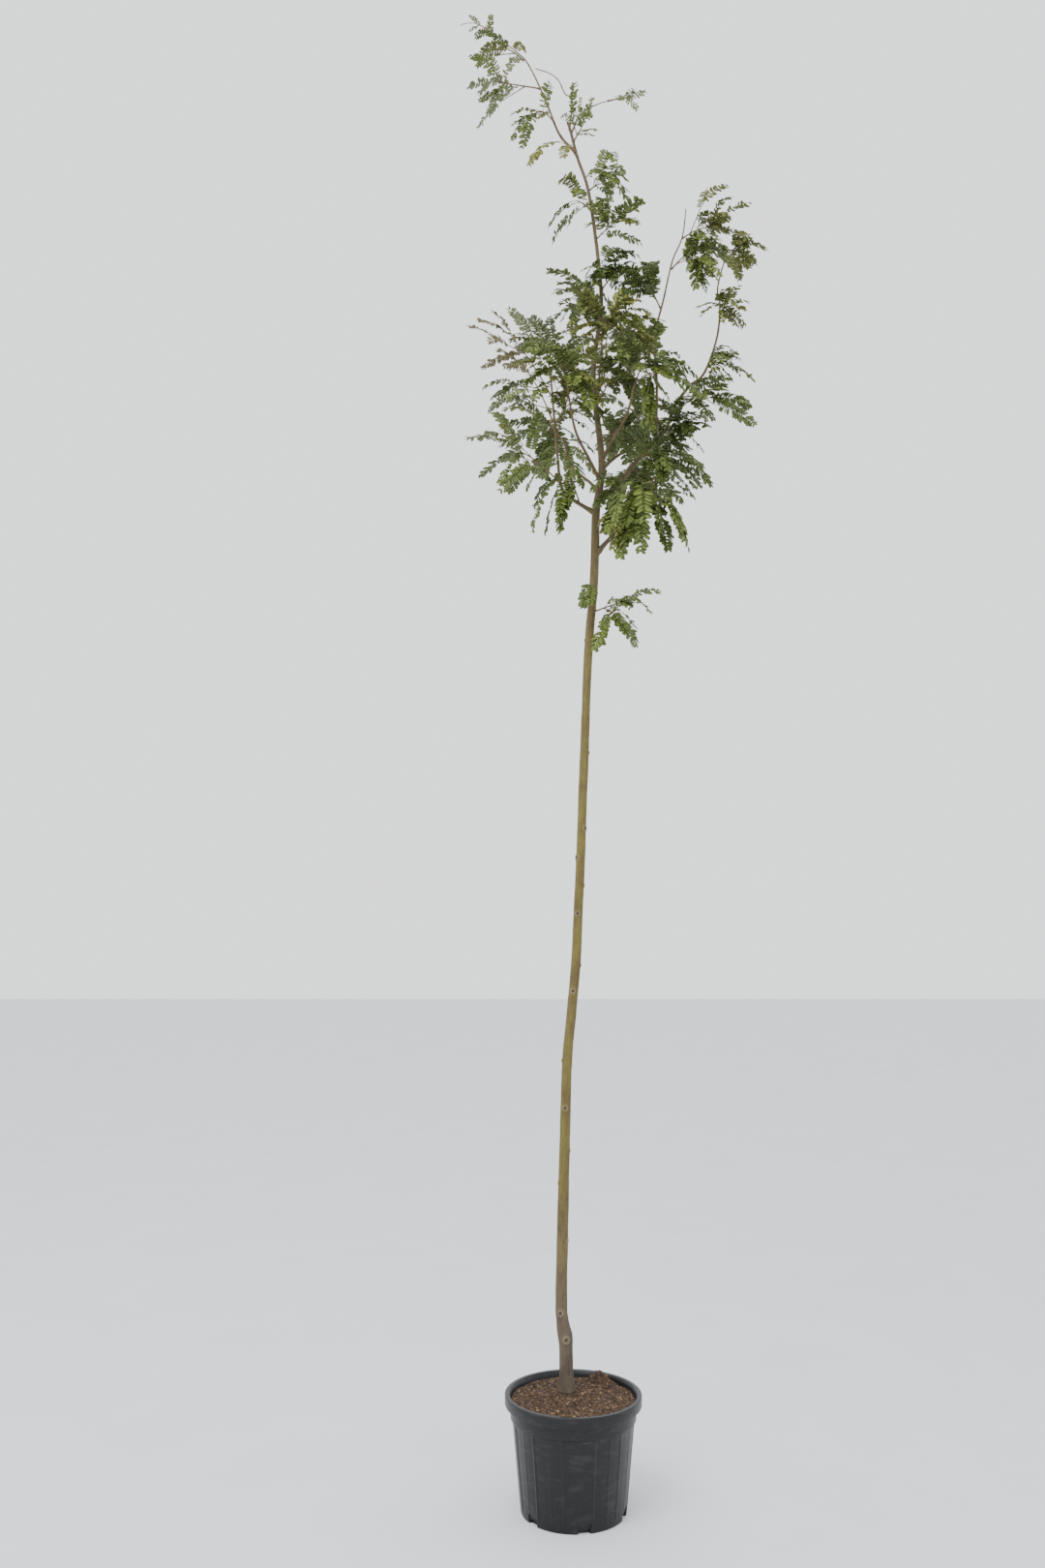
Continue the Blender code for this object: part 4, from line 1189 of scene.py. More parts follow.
@dataclass(frozen=True)
class BarkFinish:
    """The look of bark: colours by place from the mesh, streaks along the limb and fine pores."""

    roughness: float = 0.78
    patches: tuple = ((0.34, (0.74, 0.66, 0.72)), (0.50, (0.98, 0.97, 0.96)),
                      (0.66, (1.16, 1.22, 1.0)))
    streaks: tuple = ((0.25, (0.55, 0.53, 0.50)), (0.5, (1.0, 1.0, 1.0)),
                      (0.75, (1.28, 1.26, 1.22)))
    pores: tuple = ((0.34, (0.45, 0.42, 0.38)), (0.45, (1.0, 1.0, 1.0)),
                    (0.72, (1.16, 1.15, 1.12)))

    def material(self, name: str) -> bpy.types.Material:
        """Builds the bark material.

        Args:
            name: The material's name.

        Returns:
            The material.
        """
        graph = Graph(name)
        patches = graph.ramp(graph.noise(11.0, 5.0, (2.5, 2.5, 1.0)), self.patches)
        base = graph.mix(0.85, graph.attribute("bark", "Color"), patches, "MULTIPLY")
        streaks = graph.ramp(graph.noise(38.0, 6.0, (4.0, 4.0, 1.0)), self.streaks)
        streaked = graph.mix(0.7, base, streaks, "MULTIPLY")
        pores = graph.ramp(graph.noise(330.0, 3.0, (1.0, 1.0, 1.6)), self.pores)
        colour = graph.mix(0.75, streaked, pores, "MULTIPLY")
        graph.bump(graph.noise(260.0, 5.0, (1.0, 1.0, 0.5)), 0.5, 0.0006)
        return graph.finished(colour, self.roughness)


@dataclass(frozen=True)
class PlasticFinish:
    """The look of the pot's black plastic: satin, with pale scuffs and specks of dust all over."""

    black: tuple = (0.0040, 0.0044, 0.0056)
    dust: tuple = (0.040, 0.038, 0.036)
    roughness: float = 0.40
    specular: float = 0.36
    scuffs: tuple = ((0.52, (0.0, 0.0, 0.0)), (0.80, (0.55, 0.55, 0.55)))
    specks: tuple = ((0.66, (0.0, 0.0, 0.0)), (0.74, (1.0, 1.0, 1.0)))

    def material(self, name: str) -> bpy.types.Material:
        """Builds the plastic material.

        Args:
            name: The material's name.

        Returns:
            The material.
        """
        graph = Graph(name)
        scuffs = graph.ramp(graph.noise(22.0, 9.0, (1.0, 1.0, 3.2)), self.scuffs)
        specks = graph.ramp(graph.noise(240.0, 4.0), self.specks)
        dusty = graph.mix(scuffs, self.black, self.dust)
        colour = graph.mix(specks, dusty, self.dust)
        graph.bump(graph.noise(90.0, 4.0), 0.2, 0.0005)
        graph.shader.inputs["Specular IOR Level"].default_value = self.specular
        return graph.finished(colour, self.roughness)


@dataclass(frozen=True)
class MixFinish:
    """The look of the potting mix: dark peat with paler brown crumbs."""

    dark: tuple = (0.010, 0.006, 0.004)
    brown: tuple = (0.050, 0.025, 0.013)
    pale: tuple = (0.115, 0.062, 0.030)
    roughness: float = 0.95

    def material(self, name: str) -> bpy.types.Material:
        """Builds the potting mix's material.

        Args:
            name: The material's name.

        Returns:
            The material.
        """
        graph = Graph(name)
        colour = graph.ramp(graph.noise(120.0, 8.0), ((0.30, self.dark), (0.52, self.brown),
                                                      (0.74, self.pale)))
        graph.bump(graph.noise(160.0, 8.0), 0.9, 0.003)
        return graph.finished(colour, self.roughness)


@dataclass(frozen=True)
class ChipFinish:
    """The look of the chips on the mix: each its own brown, with a fine grain."""

    dark: tuple = (0.034, 0.017, 0.009)
    pale: tuple = (0.27, 0.17, 0.085)
    roughness: float = 0.9
    grain: tuple = ((0.3, (0.7, 0.7, 0.7)), (0.7, (1.2, 1.2, 1.2)))

    def material(self, name: str) -> bpy.types.Material:
        """Builds the chips' material.

        Args:
            name: The material's name.

        Returns:
            The material.
        """
        graph = Graph(name)
        base = graph.mix(graph.attribute("shade"), self.dark, self.pale)
        grain = graph.ramp(graph.noise(300.0, 4.0), self.grain)
        colour = graph.mix(0.8, base, grain, "MULTIPLY")
        graph.bump(graph.noise(400.0, 3.0), 0.4, 0.0006)
        return graph.finished(colour, self.roughness)


LEAF_FINISHES = {
    Tone.DEEP: LeafFinish((0.084, 0.118, 0.020), (0.130, 0.172, 0.050)),
    Tone.MID: LeafFinish((0.112, 0.148, 0.024), (0.160, 0.200, 0.058)),
    Tone.OLIVE: LeafFinish((0.150, 0.160, 0.026), (0.180, 0.195, 0.055)),
    Tone.PALE: LeafFinish((0.190, 0.225, 0.090), (0.270, 0.300, 0.160)),
    Tone.BRONZE: LeafFinish((0.240, 0.190, 0.060), (0.290, 0.240, 0.120)),
}


@dataclass
class LeafletKind:
    """One leaflet: an oblong outline, a shallow fold along its vein, and a bend towards its tip."""

    outline: int = 10
    vein_places: tuple = (0.3, 0.7)
    squareness: float = 0.72
    width_share: float = 0.47
    thickness_share: float = 0.013
    fold: float = 0.13
    bend: float = 0.10

    def template(self) -> tuple[Array, Array, Array]:
        """Works out one leaflet of length one.

        The outline goes round an angle: the share along is half of one less its cosine, and the
        half width is its sine raised to the squareness. Two vein points above and below the
        middle close both sides.

        Returns:
            Points as along, across and up, triangles, and a value of one on the under side.
        """
        angle = np.linspace(0.0, FULL_TURN, self.outline, endpoint=False)
        along = 0.5 - 0.5 * np.cos(angle)
        sine = np.sin(angle)
        across = np.sign(sine) * np.abs(sine) ** self.squareness * self.width_share / 2
        across[np.abs(sine) < TINY] = 0.0
        edge_up = self.fold * np.abs(across) - self.bend * along**2
        edge = np.stack([along, across, edge_up], axis=1)
        veins = np.array(self.vein_places)
        level = -self.bend * veins**2
        thick = self.thickness_share / 2
        top = np.stack([veins, np.zeros(2), level + thick], axis=1)
        under = np.stack([veins, np.zeros(2), level - thick], axis=1)
        corner = np.arange(self.outline)
        beside = (corner + 1) % self.outline
        middle = (along[corner] + along[beside]) / 2
        near = np.where((middle < 0.5 - TINY) | (corner == self.outline // 4), 0, 1)
        first = self.outline
        fan = np.stack([first + near, beside, corner], axis=1)
        turn_out = self.outline // 4 + 1
        turn_back = self.outline - turn_out
        bridge = np.array([[first, first + 1, turn_out], [first + 1, first, turn_back + 1]])
        upper = np.concatenate([fan, bridge])
        lower = upper[:, ::-1].copy()
        lower[lower >= first] += 2
        faces = np.concatenate([upper, lower])
        side = np.repeat([0.0, 1.0], len(upper))
        return np.concatenate([edge, top, under]), faces, side


@dataclass
class FeatheredLeaves:
    """All leaves: two rows of leaflets along every rib, in a piece for each green."""

    kind: LeafletKind = field(default_factory=LeafletKind)
    pair_spacing: float = 0.0088
    least_pairs: int = 7
    most_pairs: int = 17
    first_place: float = 0.15
    last_place: float = 0.985
    root_angle: float = math.radians(78)
    tip_angle: float = math.radians(38)
    wobble: float = 0.16
    twist: float = 0.30
    missing: float = 0.04
    own_tone_share: float = 0.72
    angle_power: float = 1.5
    least_angle: float = 0.9
    length_spread: tuple = (0.88, 1.1)
    leaf_shades: tuple = (0.5, 0.17)
    leaflet_shade_spread: float = 0.12
    rib_colour: tuple = (0.125, 0.135, 0.040)
    rib_shade: float = 0.6
    rib_radii: tuple = (0.00085, 0.00035)
    rib_sides: int = 5
    rib_rings: int = 9

    def leaflets_of(self, leaf: Leaf, draw: np.random.Generator) -> dict[str, Array]:
        """Sets the leaflets of one leaf in pairs, at angles that close towards the tip.

        Args:
            leaf: The leaf.
            draw: The random draws.

        Returns:
            Roots, directions, directions across, normals, lengths and shades, one a leaflet.
        """
        pairs = int(np.clip(round(leaf.length / self.pair_spacing), self.least_pairs,
                            self.most_pairs))
        shares = np.linspace(self.first_place, self.last_place, pairs)
        shares = np.repeat(shares, 2)
        hand = np.tile([1.0, -1.0], pairs)
        kept = draw.random(len(shares)) > self.missing
        kept[-2:] = True
        shares, hand = shares[kept], hand[kept]
        rows = shares * (LEAF_POINTS - 1)
        axes = [np.stack([np.interp(rows, np.arange(LEAF_POINTS), row[:, axis])
                          for axis in range(3)], axis=1)
                for row in (leaf.line, leaf.across, leaf.above)]
        root, across, above = axes[0], unit(axes[1]), unit(axes[2])
        heading = np.cross(above, across)
        count = len(shares)
        angle = self.root_angle + (self.tip_angle - self.root_angle) * shares**self.angle_power
        angle = angle + draw.normal(0.0, self.wobble, count)
        lift = draw.normal(0.0, self.wobble, count)[:, None]
        way = unit(np.cos(angle)[:, None] * heading + (np.sin(angle) * hand)[:, None] * across
                   + lift * above)
        normal = unit(above - (above * way).sum(-1, keepdims=True) * way)
        side = np.cross(normal, way)
        roll = draw.normal(0.0, self.twist, count)[:, None]
        normal = np.cos(roll) * normal + np.sin(roll) * side
        lengths = leaf.width_at(shares) / np.sin(np.maximum(angle, self.least_angle))
        lengths = lengths * draw.uniform(*self.length_spread, count)
        shade = draw.normal(*self.leaf_shades) + draw.normal(0.0, self.leaflet_shade_spread, count)
        shade = np.clip(shade, 0.0, 1.0)
        return {"root": root, "way": way, "side": np.cross(normal, way), "normal": normal,
                "length": lengths, "shade": shade}

    def leaflet_shape(self, sets: list[dict[str, Array]]) -> Shape:
        """Places the template at every leaflet: its three axes times the leaflet's own.

        Args:
            sets: Leaflets, as leaflets_of gives them.

        Returns:
            One shape.
        """
        all_of = {key: np.concatenate([one[key] for one in sets]) for key in sets[0]}
        points, faces, side = self.kind.template()
        scaled = points * all_of["length"][:, None, None]
        placed = (all_of["root"][:, None] + scaled[..., :1] * all_of["way"][:, None]
                  + scaled[..., 1:2] * all_of["side"][:, None]
                  + scaled[..., 2:] * all_of["normal"][:, None])
        count = len(placed)
        step = np.arange(count)[:, None, None] * len(points)
        return Shape(placed.reshape(-1, 3), (faces + step).reshape(-1, 3),
                     {"shade": np.repeat(all_of["shade"], len(points))},
                     {"under": np.tile(side, count)})

    def build(self, masses: list[Foliage]) -> list[bpy.types.Object]:
        """Makes the leaflets of every green and the ribs of all leaves.

        Args:
            masses: The leaves of every spray.

        Returns:
            The pieces.
        """
        draw = np.random.default_rng(LEAFLET_SEED)
        tones = list(Tone)
        sets: dict[Tone, list] = {tone: [] for tone in tones}
        ribs = []
        for mass in masses:
            for leaf in mass.leaves + mass.between:
                own = draw.random() < self.own_tone_share
                tone = mass.spray.tone if own else tones[int(draw.integers(0, COMMON_TONES))]
                sets[tone].append(self.leaflets_of(leaf, draw))
                ribs.append(evenly(leaf.line, self.rib_rings))
        made = []
        for tone, leaflets in sets.items():
            shape = self.leaflet_shape(leaflets)
            material = LEAF_FINISHES[tone].material("leaf_" + tone.value)
            piece = shape.to_object("leaflets_" + tone.value, material)
            names = [mass.spray.name for mass in masses if mass.spray.tone is tone]
            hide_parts(*names)
            made.append(piece)
        lines = np.stack(ribs)
        radii = np.broadcast_to(np.linspace(*self.rib_radii, self.rib_rings), lines.shape[:2])
        shape = tubes(lines, radii, self.rib_sides)
        shape.point_values["shade"] = np.full(len(shape.points), self.rib_shade)
        shape.face_values["under"] = np.zeros(len(shape.triangles))
        rib_finish = LeafFinish(self.rib_colour, self.rib_colour)
        made.append(shape.to_object("leaf_ribs", rib_finish.material("leaf_rib")))
        return made


@dataclass(frozen=True)
class Mark:
    """A scar or bud on the trunk: its height, its turn from the front, its size and its relief."""

    height: float
    turn: float
    radius: float
    relief: float
    is_scar: bool


# Pruning scars and buds up the trunk. Turns are measured from the front, positive to the right.
MARKS = (
    Mark(0.448, 0.05, 0.0087, 0.0025, True),
    Mark(0.520, -0.20, 0.0077, 0.0021, True),
    Mark(0.715, 1.30, 0.0070, 0.0019, True),
    Mark(1.080, -0.10, 0.0070, 0.0019, True),
    Mark(1.210, -1.35, 0.0050, 0.0028, False),
    Mark(1.405, -0.15, 0.0070, 0.0019, True),
    Mark(0.870, -1.30, 0.0050, 0.0026, False),
    Mark(1.480, 1.35, 0.0050, 0.0026, False),
    Mark(1.625, -0.20, 0.0070, 0.0021, True),
    Mark(1.705, 1.40, 0.0050, 0.0028, False),
    Mark(1.785, -1.10, 0.0077, 0.0025, True),
    Mark(1.870, 0.90, 0.0070, 0.0021, True),
    Mark(2.090, 1.35, 0.0050, 0.0028, False),
    Mark(2.300, 2.60, 0.0063, 0.0021, True),
    Mark(2.560, 1.40, 0.0052, 0.0028, False),
    Mark(1.300, 2.70, 0.0067, 0.0019, True),
    Mark(0.960, 2.10, 0.0067, 0.0019, True),
    Mark(1.900, -2.50, 0.0067, 0.0019, True),
    Mark(2.420, -2.00, 0.0052, 0.0024, False),
    Mark(3.300, 0.90, 0.0040, 0.0020, False),
    Mark(3.560, -1.60, 0.0040, 0.0020, False),
    Mark(3.700, 1.50, 0.0037, 0.0020, False),
)


@dataclass
class Wood:
    """The trunk, the boughs and the thin wood, with the relief and colours of their bark."""

    trunk_rings: int = 1000
    trunk_sides: int = 40
    bough_sides: int = 16
    bough_spacing: float = 0.004
    ridge: float = 0.00028
    lump: float = 0.00045
    lumps: tuple = ((1, 9.0, 1.0), (2, 17.0, 0.7), (3, 31.0, 0.5), (2, 53.0, 0.35))
    ridges: tuple = ((7, 60.0, 1.0), (11, 95.0, 0.8), (16, 140.0, 0.5))
    full_relief_radius: float = 0.012
    flare_top: float = 0.36
    flare_height: float = 0.055
    flare_share: float = 0.10
    nodes_per_metre: float = 22.0
    node_share: float = 0.10
    node_width: float = 0.12
    thin_rings: int = 14
    stem_steps: int = 60
    thin_sides: int = 8
    stem_radii: tuple = (0.0024, 0.0014)
    twig_radii: tuple = (0.0016, 0.0009)
    swelling: float = 0.5
    swelling_reach: float = 0.06
    root_depth: float = 0.002
    shoot_radii: tuple = (0.002, 0.006)
    collar_reach: float = 0.014
    collar_share: float = 0.45
    foot_colour: tuple = (0.082, 0.062, 0.043)
    stock_colour: tuple = (0.100, 0.072, 0.038)
    stem_colour: tuple = (0.122, 0.095, 0.022)
    upper_colour: tuple = (0.122, 0.089, 0.042)
    top_colour: tuple = (0.130, 0.092, 0.055)
    shoot_colour: tuple = (0.140, 0.090, 0.042)
    scar_pale: tuple = (0.42, 0.34, 0.22)
    scar_dark: tuple = (0.030, 0.020, 0.014)
    pale_share: float = 0.35
    scar_ring: tuple = (0.85, 0.38)
    scar_core: float = 0.62
    scar_hollow: float = 0.8
    bud_shade: float = 0.35
    colour_heights: tuple = (0.30, 0.44, 0.56, 0.86, 2.20, 2.90, 4.02)

    def relief(self, angle: Array, height: Array, radius: Array, seed: int) -> Array:
        """Adds waves to a radius: long lumps, fine ridges along the limb and rings round it.

        Each wave is a sine of a whole number of turns round and a number of waves along.

        Args:
            angle: Angles round the limb, one a column.
            height: Distances along the limb, one a row.
            radius: The plain radius, one a row.
            seed: The seed of the phases.

        Returns:
            The radius at every row and column.
        """
        draw = np.random.default_rng(seed)
        total = np.zeros((len(height), len(angle)))
        for turns, waves, share in self.lumps:
            phase = draw.uniform(0.0, FULL_TURN, 2)
            total += self.lump * share * np.sin(turns * angle + phase[0]
                                                + 2.5 * np.sin(3.1 * height[:, None] + phase[1])
                                                ) * np.sin(waves * height[:, None] + phase[1])
        for turns, waves, share in self.ridges:
            phase = draw.uniform(0.0, FULL_TURN, 2)
            total += self.ridge * share * np.sin(
                turns * angle + phase[0] + 1.8 * np.sin(waves / 3 * height[:, None] + phase[1]))
        rings = np.sin(210.0 * height[:, None] + 0.8 * np.sin(3 * angle))
        total += self.ridge * 0.4 * rings * np.sin(23.0 * height[:, None])
        small = np.clip(radius / self.full_relief_radius, 0.15, 1.0)[:, None]
        return radius[:, None] + total * small

    def trunk(self, limb: Limb) -> bpy.types.Object:
        """Makes the trunk with its scars and buds.

        Args:
            limb: The trunk's plan.

        Returns:
            The piece.
        """
        line, radius = limb.drawn(self.trunk_rings)
        height = line[:, 2]
        angle = np.linspace(0.0, FULL_TURN, self.trunk_sides, endpoint=False)
        reach = self.relief(angle, height, radius, TRUNK_SEED)
        flare = np.clip((self.flare_top - height) / self.flare_height, 0.0, 1.0)[:, None] ** 2
        reach = reach * (1 + flare * self.flare_share * np.sin(4 * angle + 0.6))
        shape = tubes(line[None], reach[None], self.trunk_sides)
        heights = np.append(np.repeat(height, self.trunk_sides), height[[0, -1]])
        bands = np.array([self.foot_colour, self.foot_colour, self.stock_colour, self.stem_colour,
                          self.stem_colour, self.upper_colour, self.top_colour])
        colour = np.stack([np.interp(heights, self.colour_heights, bands[:, part])
                           for part in range(3)], axis=1)
        centre = np.stack([np.interp(heights, height, line[:, axis]) for axis in range(3)], axis=1)
        for mark in MARKS:
            colour = self.add_mark(shape, centre, heights, colour, mark)
        shape.point_values["bark"] = colour
        piece = shape.to_object("trunk_bark", BarkFinish().material("bark"))
        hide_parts("trunk")
        return piece

    def add_mark(self, shape: Shape, centre: Array, heights: Array, colour: Array,
                 mark: Mark) -> Array:
        """Raises one mark on the trunk and paints it.

        The relief is a bell over the distance along the surface. A scar is a bell round a ring,
        less a smaller bell in its middle.

        Args:
            shape: The trunk's shape, whose points are moved.
            centre: The trunk's centre at each point's height.
            heights: Each point's height.
            colour: Each point's colour.
            mark: The mark.

        Returns:
            The new colours.
        """
        outward = shape.points - centre
        outward[:, 2] = 0.0
        reach = np.maximum(np.linalg.norm(outward, axis=1), 1e-6)
        turn = np.arctan2(outward[:, 0], -outward[:, 1])
        apart = np.angle(np.exp(1j * (turn - mark.turn))) * reach
        distance = np.hypot(apart, heights - mark.height) / mark.radius
        if mark.is_scar:
            middle, width = self.scar_ring
            ring = np.exp(-(((distance - middle) / width) ** 2))
            core = np.exp(-((distance / self.scar_core) ** 4))
            rise = mark.relief * (ring - self.scar_hollow * core)
            pale = self.pale_share * ring[:, None]
            colour = colour + (np.array(self.scar_pale) - colour) * pale
            colour = colour + (np.array(self.scar_dark) - colour) * core[:, None]
        else:
            rise = mark.relief * np.exp(-(distance**2))
            colour = colour * (1 - self.bud_shade * np.exp(-(distance**2)))[:, None]
        shape.points += outward / reach[:, None] * rise[:, None]
        return colour

    def boughs(self, limbs: dict[str, Limb]) -> bpy.types.Object:
        """Makes every bough, thickened to a collar where it leaves its limb.

        Args:
            limbs: Every limb by name.

        Returns:
            The piece.
        """
        shapes = []
        for number, bough in enumerate(BOUGHS):
            limb = limbs[bough.name]
            rings = int(length_of(limb.line) / self.bough_spacing)
            line, radius = limb.drawn(rings)
            along = np.linspace(0.0, length_of(line), rings)
            if bough.at != 1.0:
                parent = limbs[bough.parent]
                out = np.clip(parent.gaps(line), 0.0, None)
                radius = radius * (1 + self.collar_share * np.exp(-out / self.collar_reach))
            angle = np.linspace(0.0, FULL_TURN, self.bough_sides, endpoint=False)
            place = (along * self.nodes_per_metre) % 1.0 - 0.5
            nodes = 1 + self.node_share * np.exp(-((place / self.node_width) ** 2))
            reach = self.relief(angle, along, radius * nodes, BOUGH_SEED + number)
            shape = tubes(line[None], reach[None], self.bough_sides)
            least, most = self.shoot_radii
            thin = np.clip((most - radius) / (most - least), 0.0, 1.0)[:, None]
            colour = np.array(self.upper_colour) * (1 - thin) + np.array(self.shoot_colour) * thin
            ends = colour[[0, -1]]
            shape.point_values["bark"] = np.concatenate(
                [np.repeat(colour, self.bough_sides, axis=0), ends])
            shapes.append(shape)
        piece = Shape.joined(shapes).to_object("bough_bark", BarkFinish().material("bough_bark"))
        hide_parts(*[bough.name for bough in BOUGHS])
        return piece

    def thin_wood(self, branching: Branching) -> bpy.types.Object:
        """Makes the stems and twigs of every spray, with a swelling at each foot.

        Args:
            branching: The stems and twigs of all sprays.

        Returns:
            The piece.
        """
        rings = self.thin_rings
        stems, twigs = [], []
        for spray, stem, own in zip(SPRAYS, branching.stems, branching.twigs):
            centre = branching.limbs[spray.limb].line
            near = centre[np.linalg.norm(centre - stem[0], axis=1).argmin()]
            root = stem[0] - unit(stem[0] - near) * self.root_depth
            full = stem if spray.at == 1.0 else np.vstack([root, stem])
            stems.append(evenly(smooth_line(full, self.stem_steps), rings))
            twigs += [evenly(line, rings) for line in own]
        share = np.linspace(0.0, 1.0, rings)
        swell = 1 + self.swelling * np.exp(-share / self.swelling_reach)
        radii = [np.broadcast_to((first + (last - first) * share) * swell, (len(lines), rings))
                 for (first, last), lines in ((self.stem_radii, stems), (self.twig_radii, twigs))]
        shape = tubes(np.stack(stems + twigs), np.concatenate(radii), self.thin_sides)
        shape.point_values["bark"] = np.tile(self.shoot_colour, (len(shape.points), 1))
        piece = shape.to_object("twigs", BarkFinish().material("twig_bark"))
        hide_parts(*[spray.name for spray in SPRAYS])
        return piece


@dataclass
class Pot:
    """The nursery pot: a turned wall with upright ribs, a collar, a lip and drain notches."""

    height: float = 0.310
    rim_radius: float = 0.189
    foot_radius: float = 0.1454
    lip_depth: float = 0.029
    lip_width: float = 0.011
    collar_foot: float = 0.245
    collar_radius: float = 0.1735
    body_top_radius: float = 0.168
    wall: float = 0.004
    floor: float = 0.0135
    base_edge: float = 0.012
    round_edge: float = 0.003
    small_edge: float = 0.0008
    lip_slope_depth: float = 0.012
    collar_step: float = 0.002
    panel_sink: float = 0.0006
    body_shares: tuple = (0.0, 0.0235, 0.026, 0.10, 0.25, 0.4, 0.55, 0.7, 0.85, 0.97, 1.0)
    inner_rows: int = 9
    columns: int = 360
    rib_count: int = 12
    rib_turn: float = math.radians(18)
    rib_width: float = math.radians(1.1)
    rib_height: float = 0.0017
    panel_turn: float = math.radians(16)
    notch_count: int = 6
    notch_turn: float = math.radians(9)
    notch_width: float = 0.034
    notch_height: float = 0.0095
    notch_depth: float = 0.0117

    def inner_radius(self, height: float) -> float:
        """Gives the inner wall's radius, which grows evenly with height.

        Args:
            height: The height.

        Returns:
            The radius.
        """
        foot, top = self.foot_radius - self.wall, self.collar_radius - self.wall
        return foot + (top - foot) * height / (self.height - self.lip_depth)

    def profile(self) -> Array:
        """Draws the wall's cross section from the middle of the underside round to the floor.

        Returns:
            Radius and height, one point a row.
        """
        lip_foot, edge, small = self.height - self.lip_depth, self.round_edge, self.small_edge
        flare = self.body_top_radius - self.foot_radius
        body = [(self.foot_radius + flare * share, edge + (self.collar_foot - 0.005) * share)
                for share in self.body_shares]
        curve = [(self.rim_radius - edge + edge * math.sin(turn),
                  self.height - edge + edge * math.cos(turn))
                 for turn in np.linspace(math.pi / 2, 0.0, 5)]
        outer = [(0.0, 0.0), (self.foot_radius - self.base_edge, 0.0),
                 (self.foot_radius - edge, 0.0), (self.foot_radius - small, small)] + body
        outer += [(self.collar_radius - self.collar_step, self.collar_foot),
                  (self.collar_radius - small / 2, self.collar_foot + 2 * small),
                  (self.collar_radius, self.collar_foot + 5 * small),
                  (self.collar_radius, lip_foot - 5 * small), (self.collar_radius, lip_foot),
                  (self.rim_radius - edge, lip_foot), (self.rim_radius - small, lip_foot + small),
                  (self.rim_radius, lip_foot + edge)]
        brim = self.rim_radius - self.lip_width
        slope_foot = self.height - self.lip_slope_depth
        inner = [(brim, self.height), (brim - 2 * small, self.height - 1.5 * small),
                 (self.inner_radius(slope_foot), slope_foot),
                 (self.inner_radius(self.collar_foot), self.collar_foot),
                 (self.inner_radius(self.floor), self.floor), (0.0, self.floor)]
        return np.array(outer + curve + inner)

    def build(self) -> bpy.types.Object:
        """Turns the profile, then raises the ribs and presses in the notches by angle and height.

        Returns:
            The piece.
        """
        profile = self.profile()
        radius, height = profile[1:-1, 0][:, None], profile[1:-1, 1][:, None]
        angle = np.linspace(0.0, FULL_TURN, self.columns, endpoint=False)
        turn = angle + math.pi / 2
        outer_rows = np.arange(len(height))[:, None] < len(height) - self.inner_rows
        is_body = (height > 0.012) & (height < self.collar_foot - 0.004) & outer_rows
        rise = np.zeros((len(height), self.columns))
        for number in range(self.rib_count):
            place = self.rib_turn + number * FULL_TURN / self.rib_count
            apart = np.angle(np.exp(1j * (turn - place)))
            edge = np.angle(np.exp(1j * (turn - place - self.panel_turn)))
            rise += self.rib_height * np.exp(-((apart / self.rib_width) ** 2))
            rise += 0.5 * self.rib_height * np.exp(-((edge / self.rib_width) ** 2))
            rise -= 0.35 * self.rib_height * (np.abs(apart - self.panel_turn / 2)
                                              < self.panel_turn / 2)
        reach = radius + np.where(is_body, rise - self.panel_sink, 0.0)
        half = self.notch_width / 2 / self.foot_radius
        for number in range(self.notch_count):
            place = self.notch_turn + number * FULL_TURN / self.notch_count
            apart = np.abs(np.angle(np.exp(1j * (turn - place))))
            at_foot = (height < self.notch_height) & outer_rows
            pressed = at_foot & (radius > self.foot_radius - self.base_edge / 2) & (apart < half)
            reach = np.where(pressed, self.foot_radius - self.notch_depth, reach)
        x, y = reach * np.cos(angle), reach * np.sin(angle)
        skin = np.stack([x, y, np.broadcast_to(height, x.shape)], axis=-1).reshape(-1, 3)
        points = np.vstack([skin, (0.0, 0.0, profile[0, 1]), (0.0, 0.0, profile[-1, 1])])
        shape = Shape(points, closed_triangles(len(height), self.columns))
        piece = shape.to_object("pot_shell", PlasticFinish().material("black_plastic"))
        piece.data.set_sharp_from_angle(angle=math.radians(32))
        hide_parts("pot")
        return piece


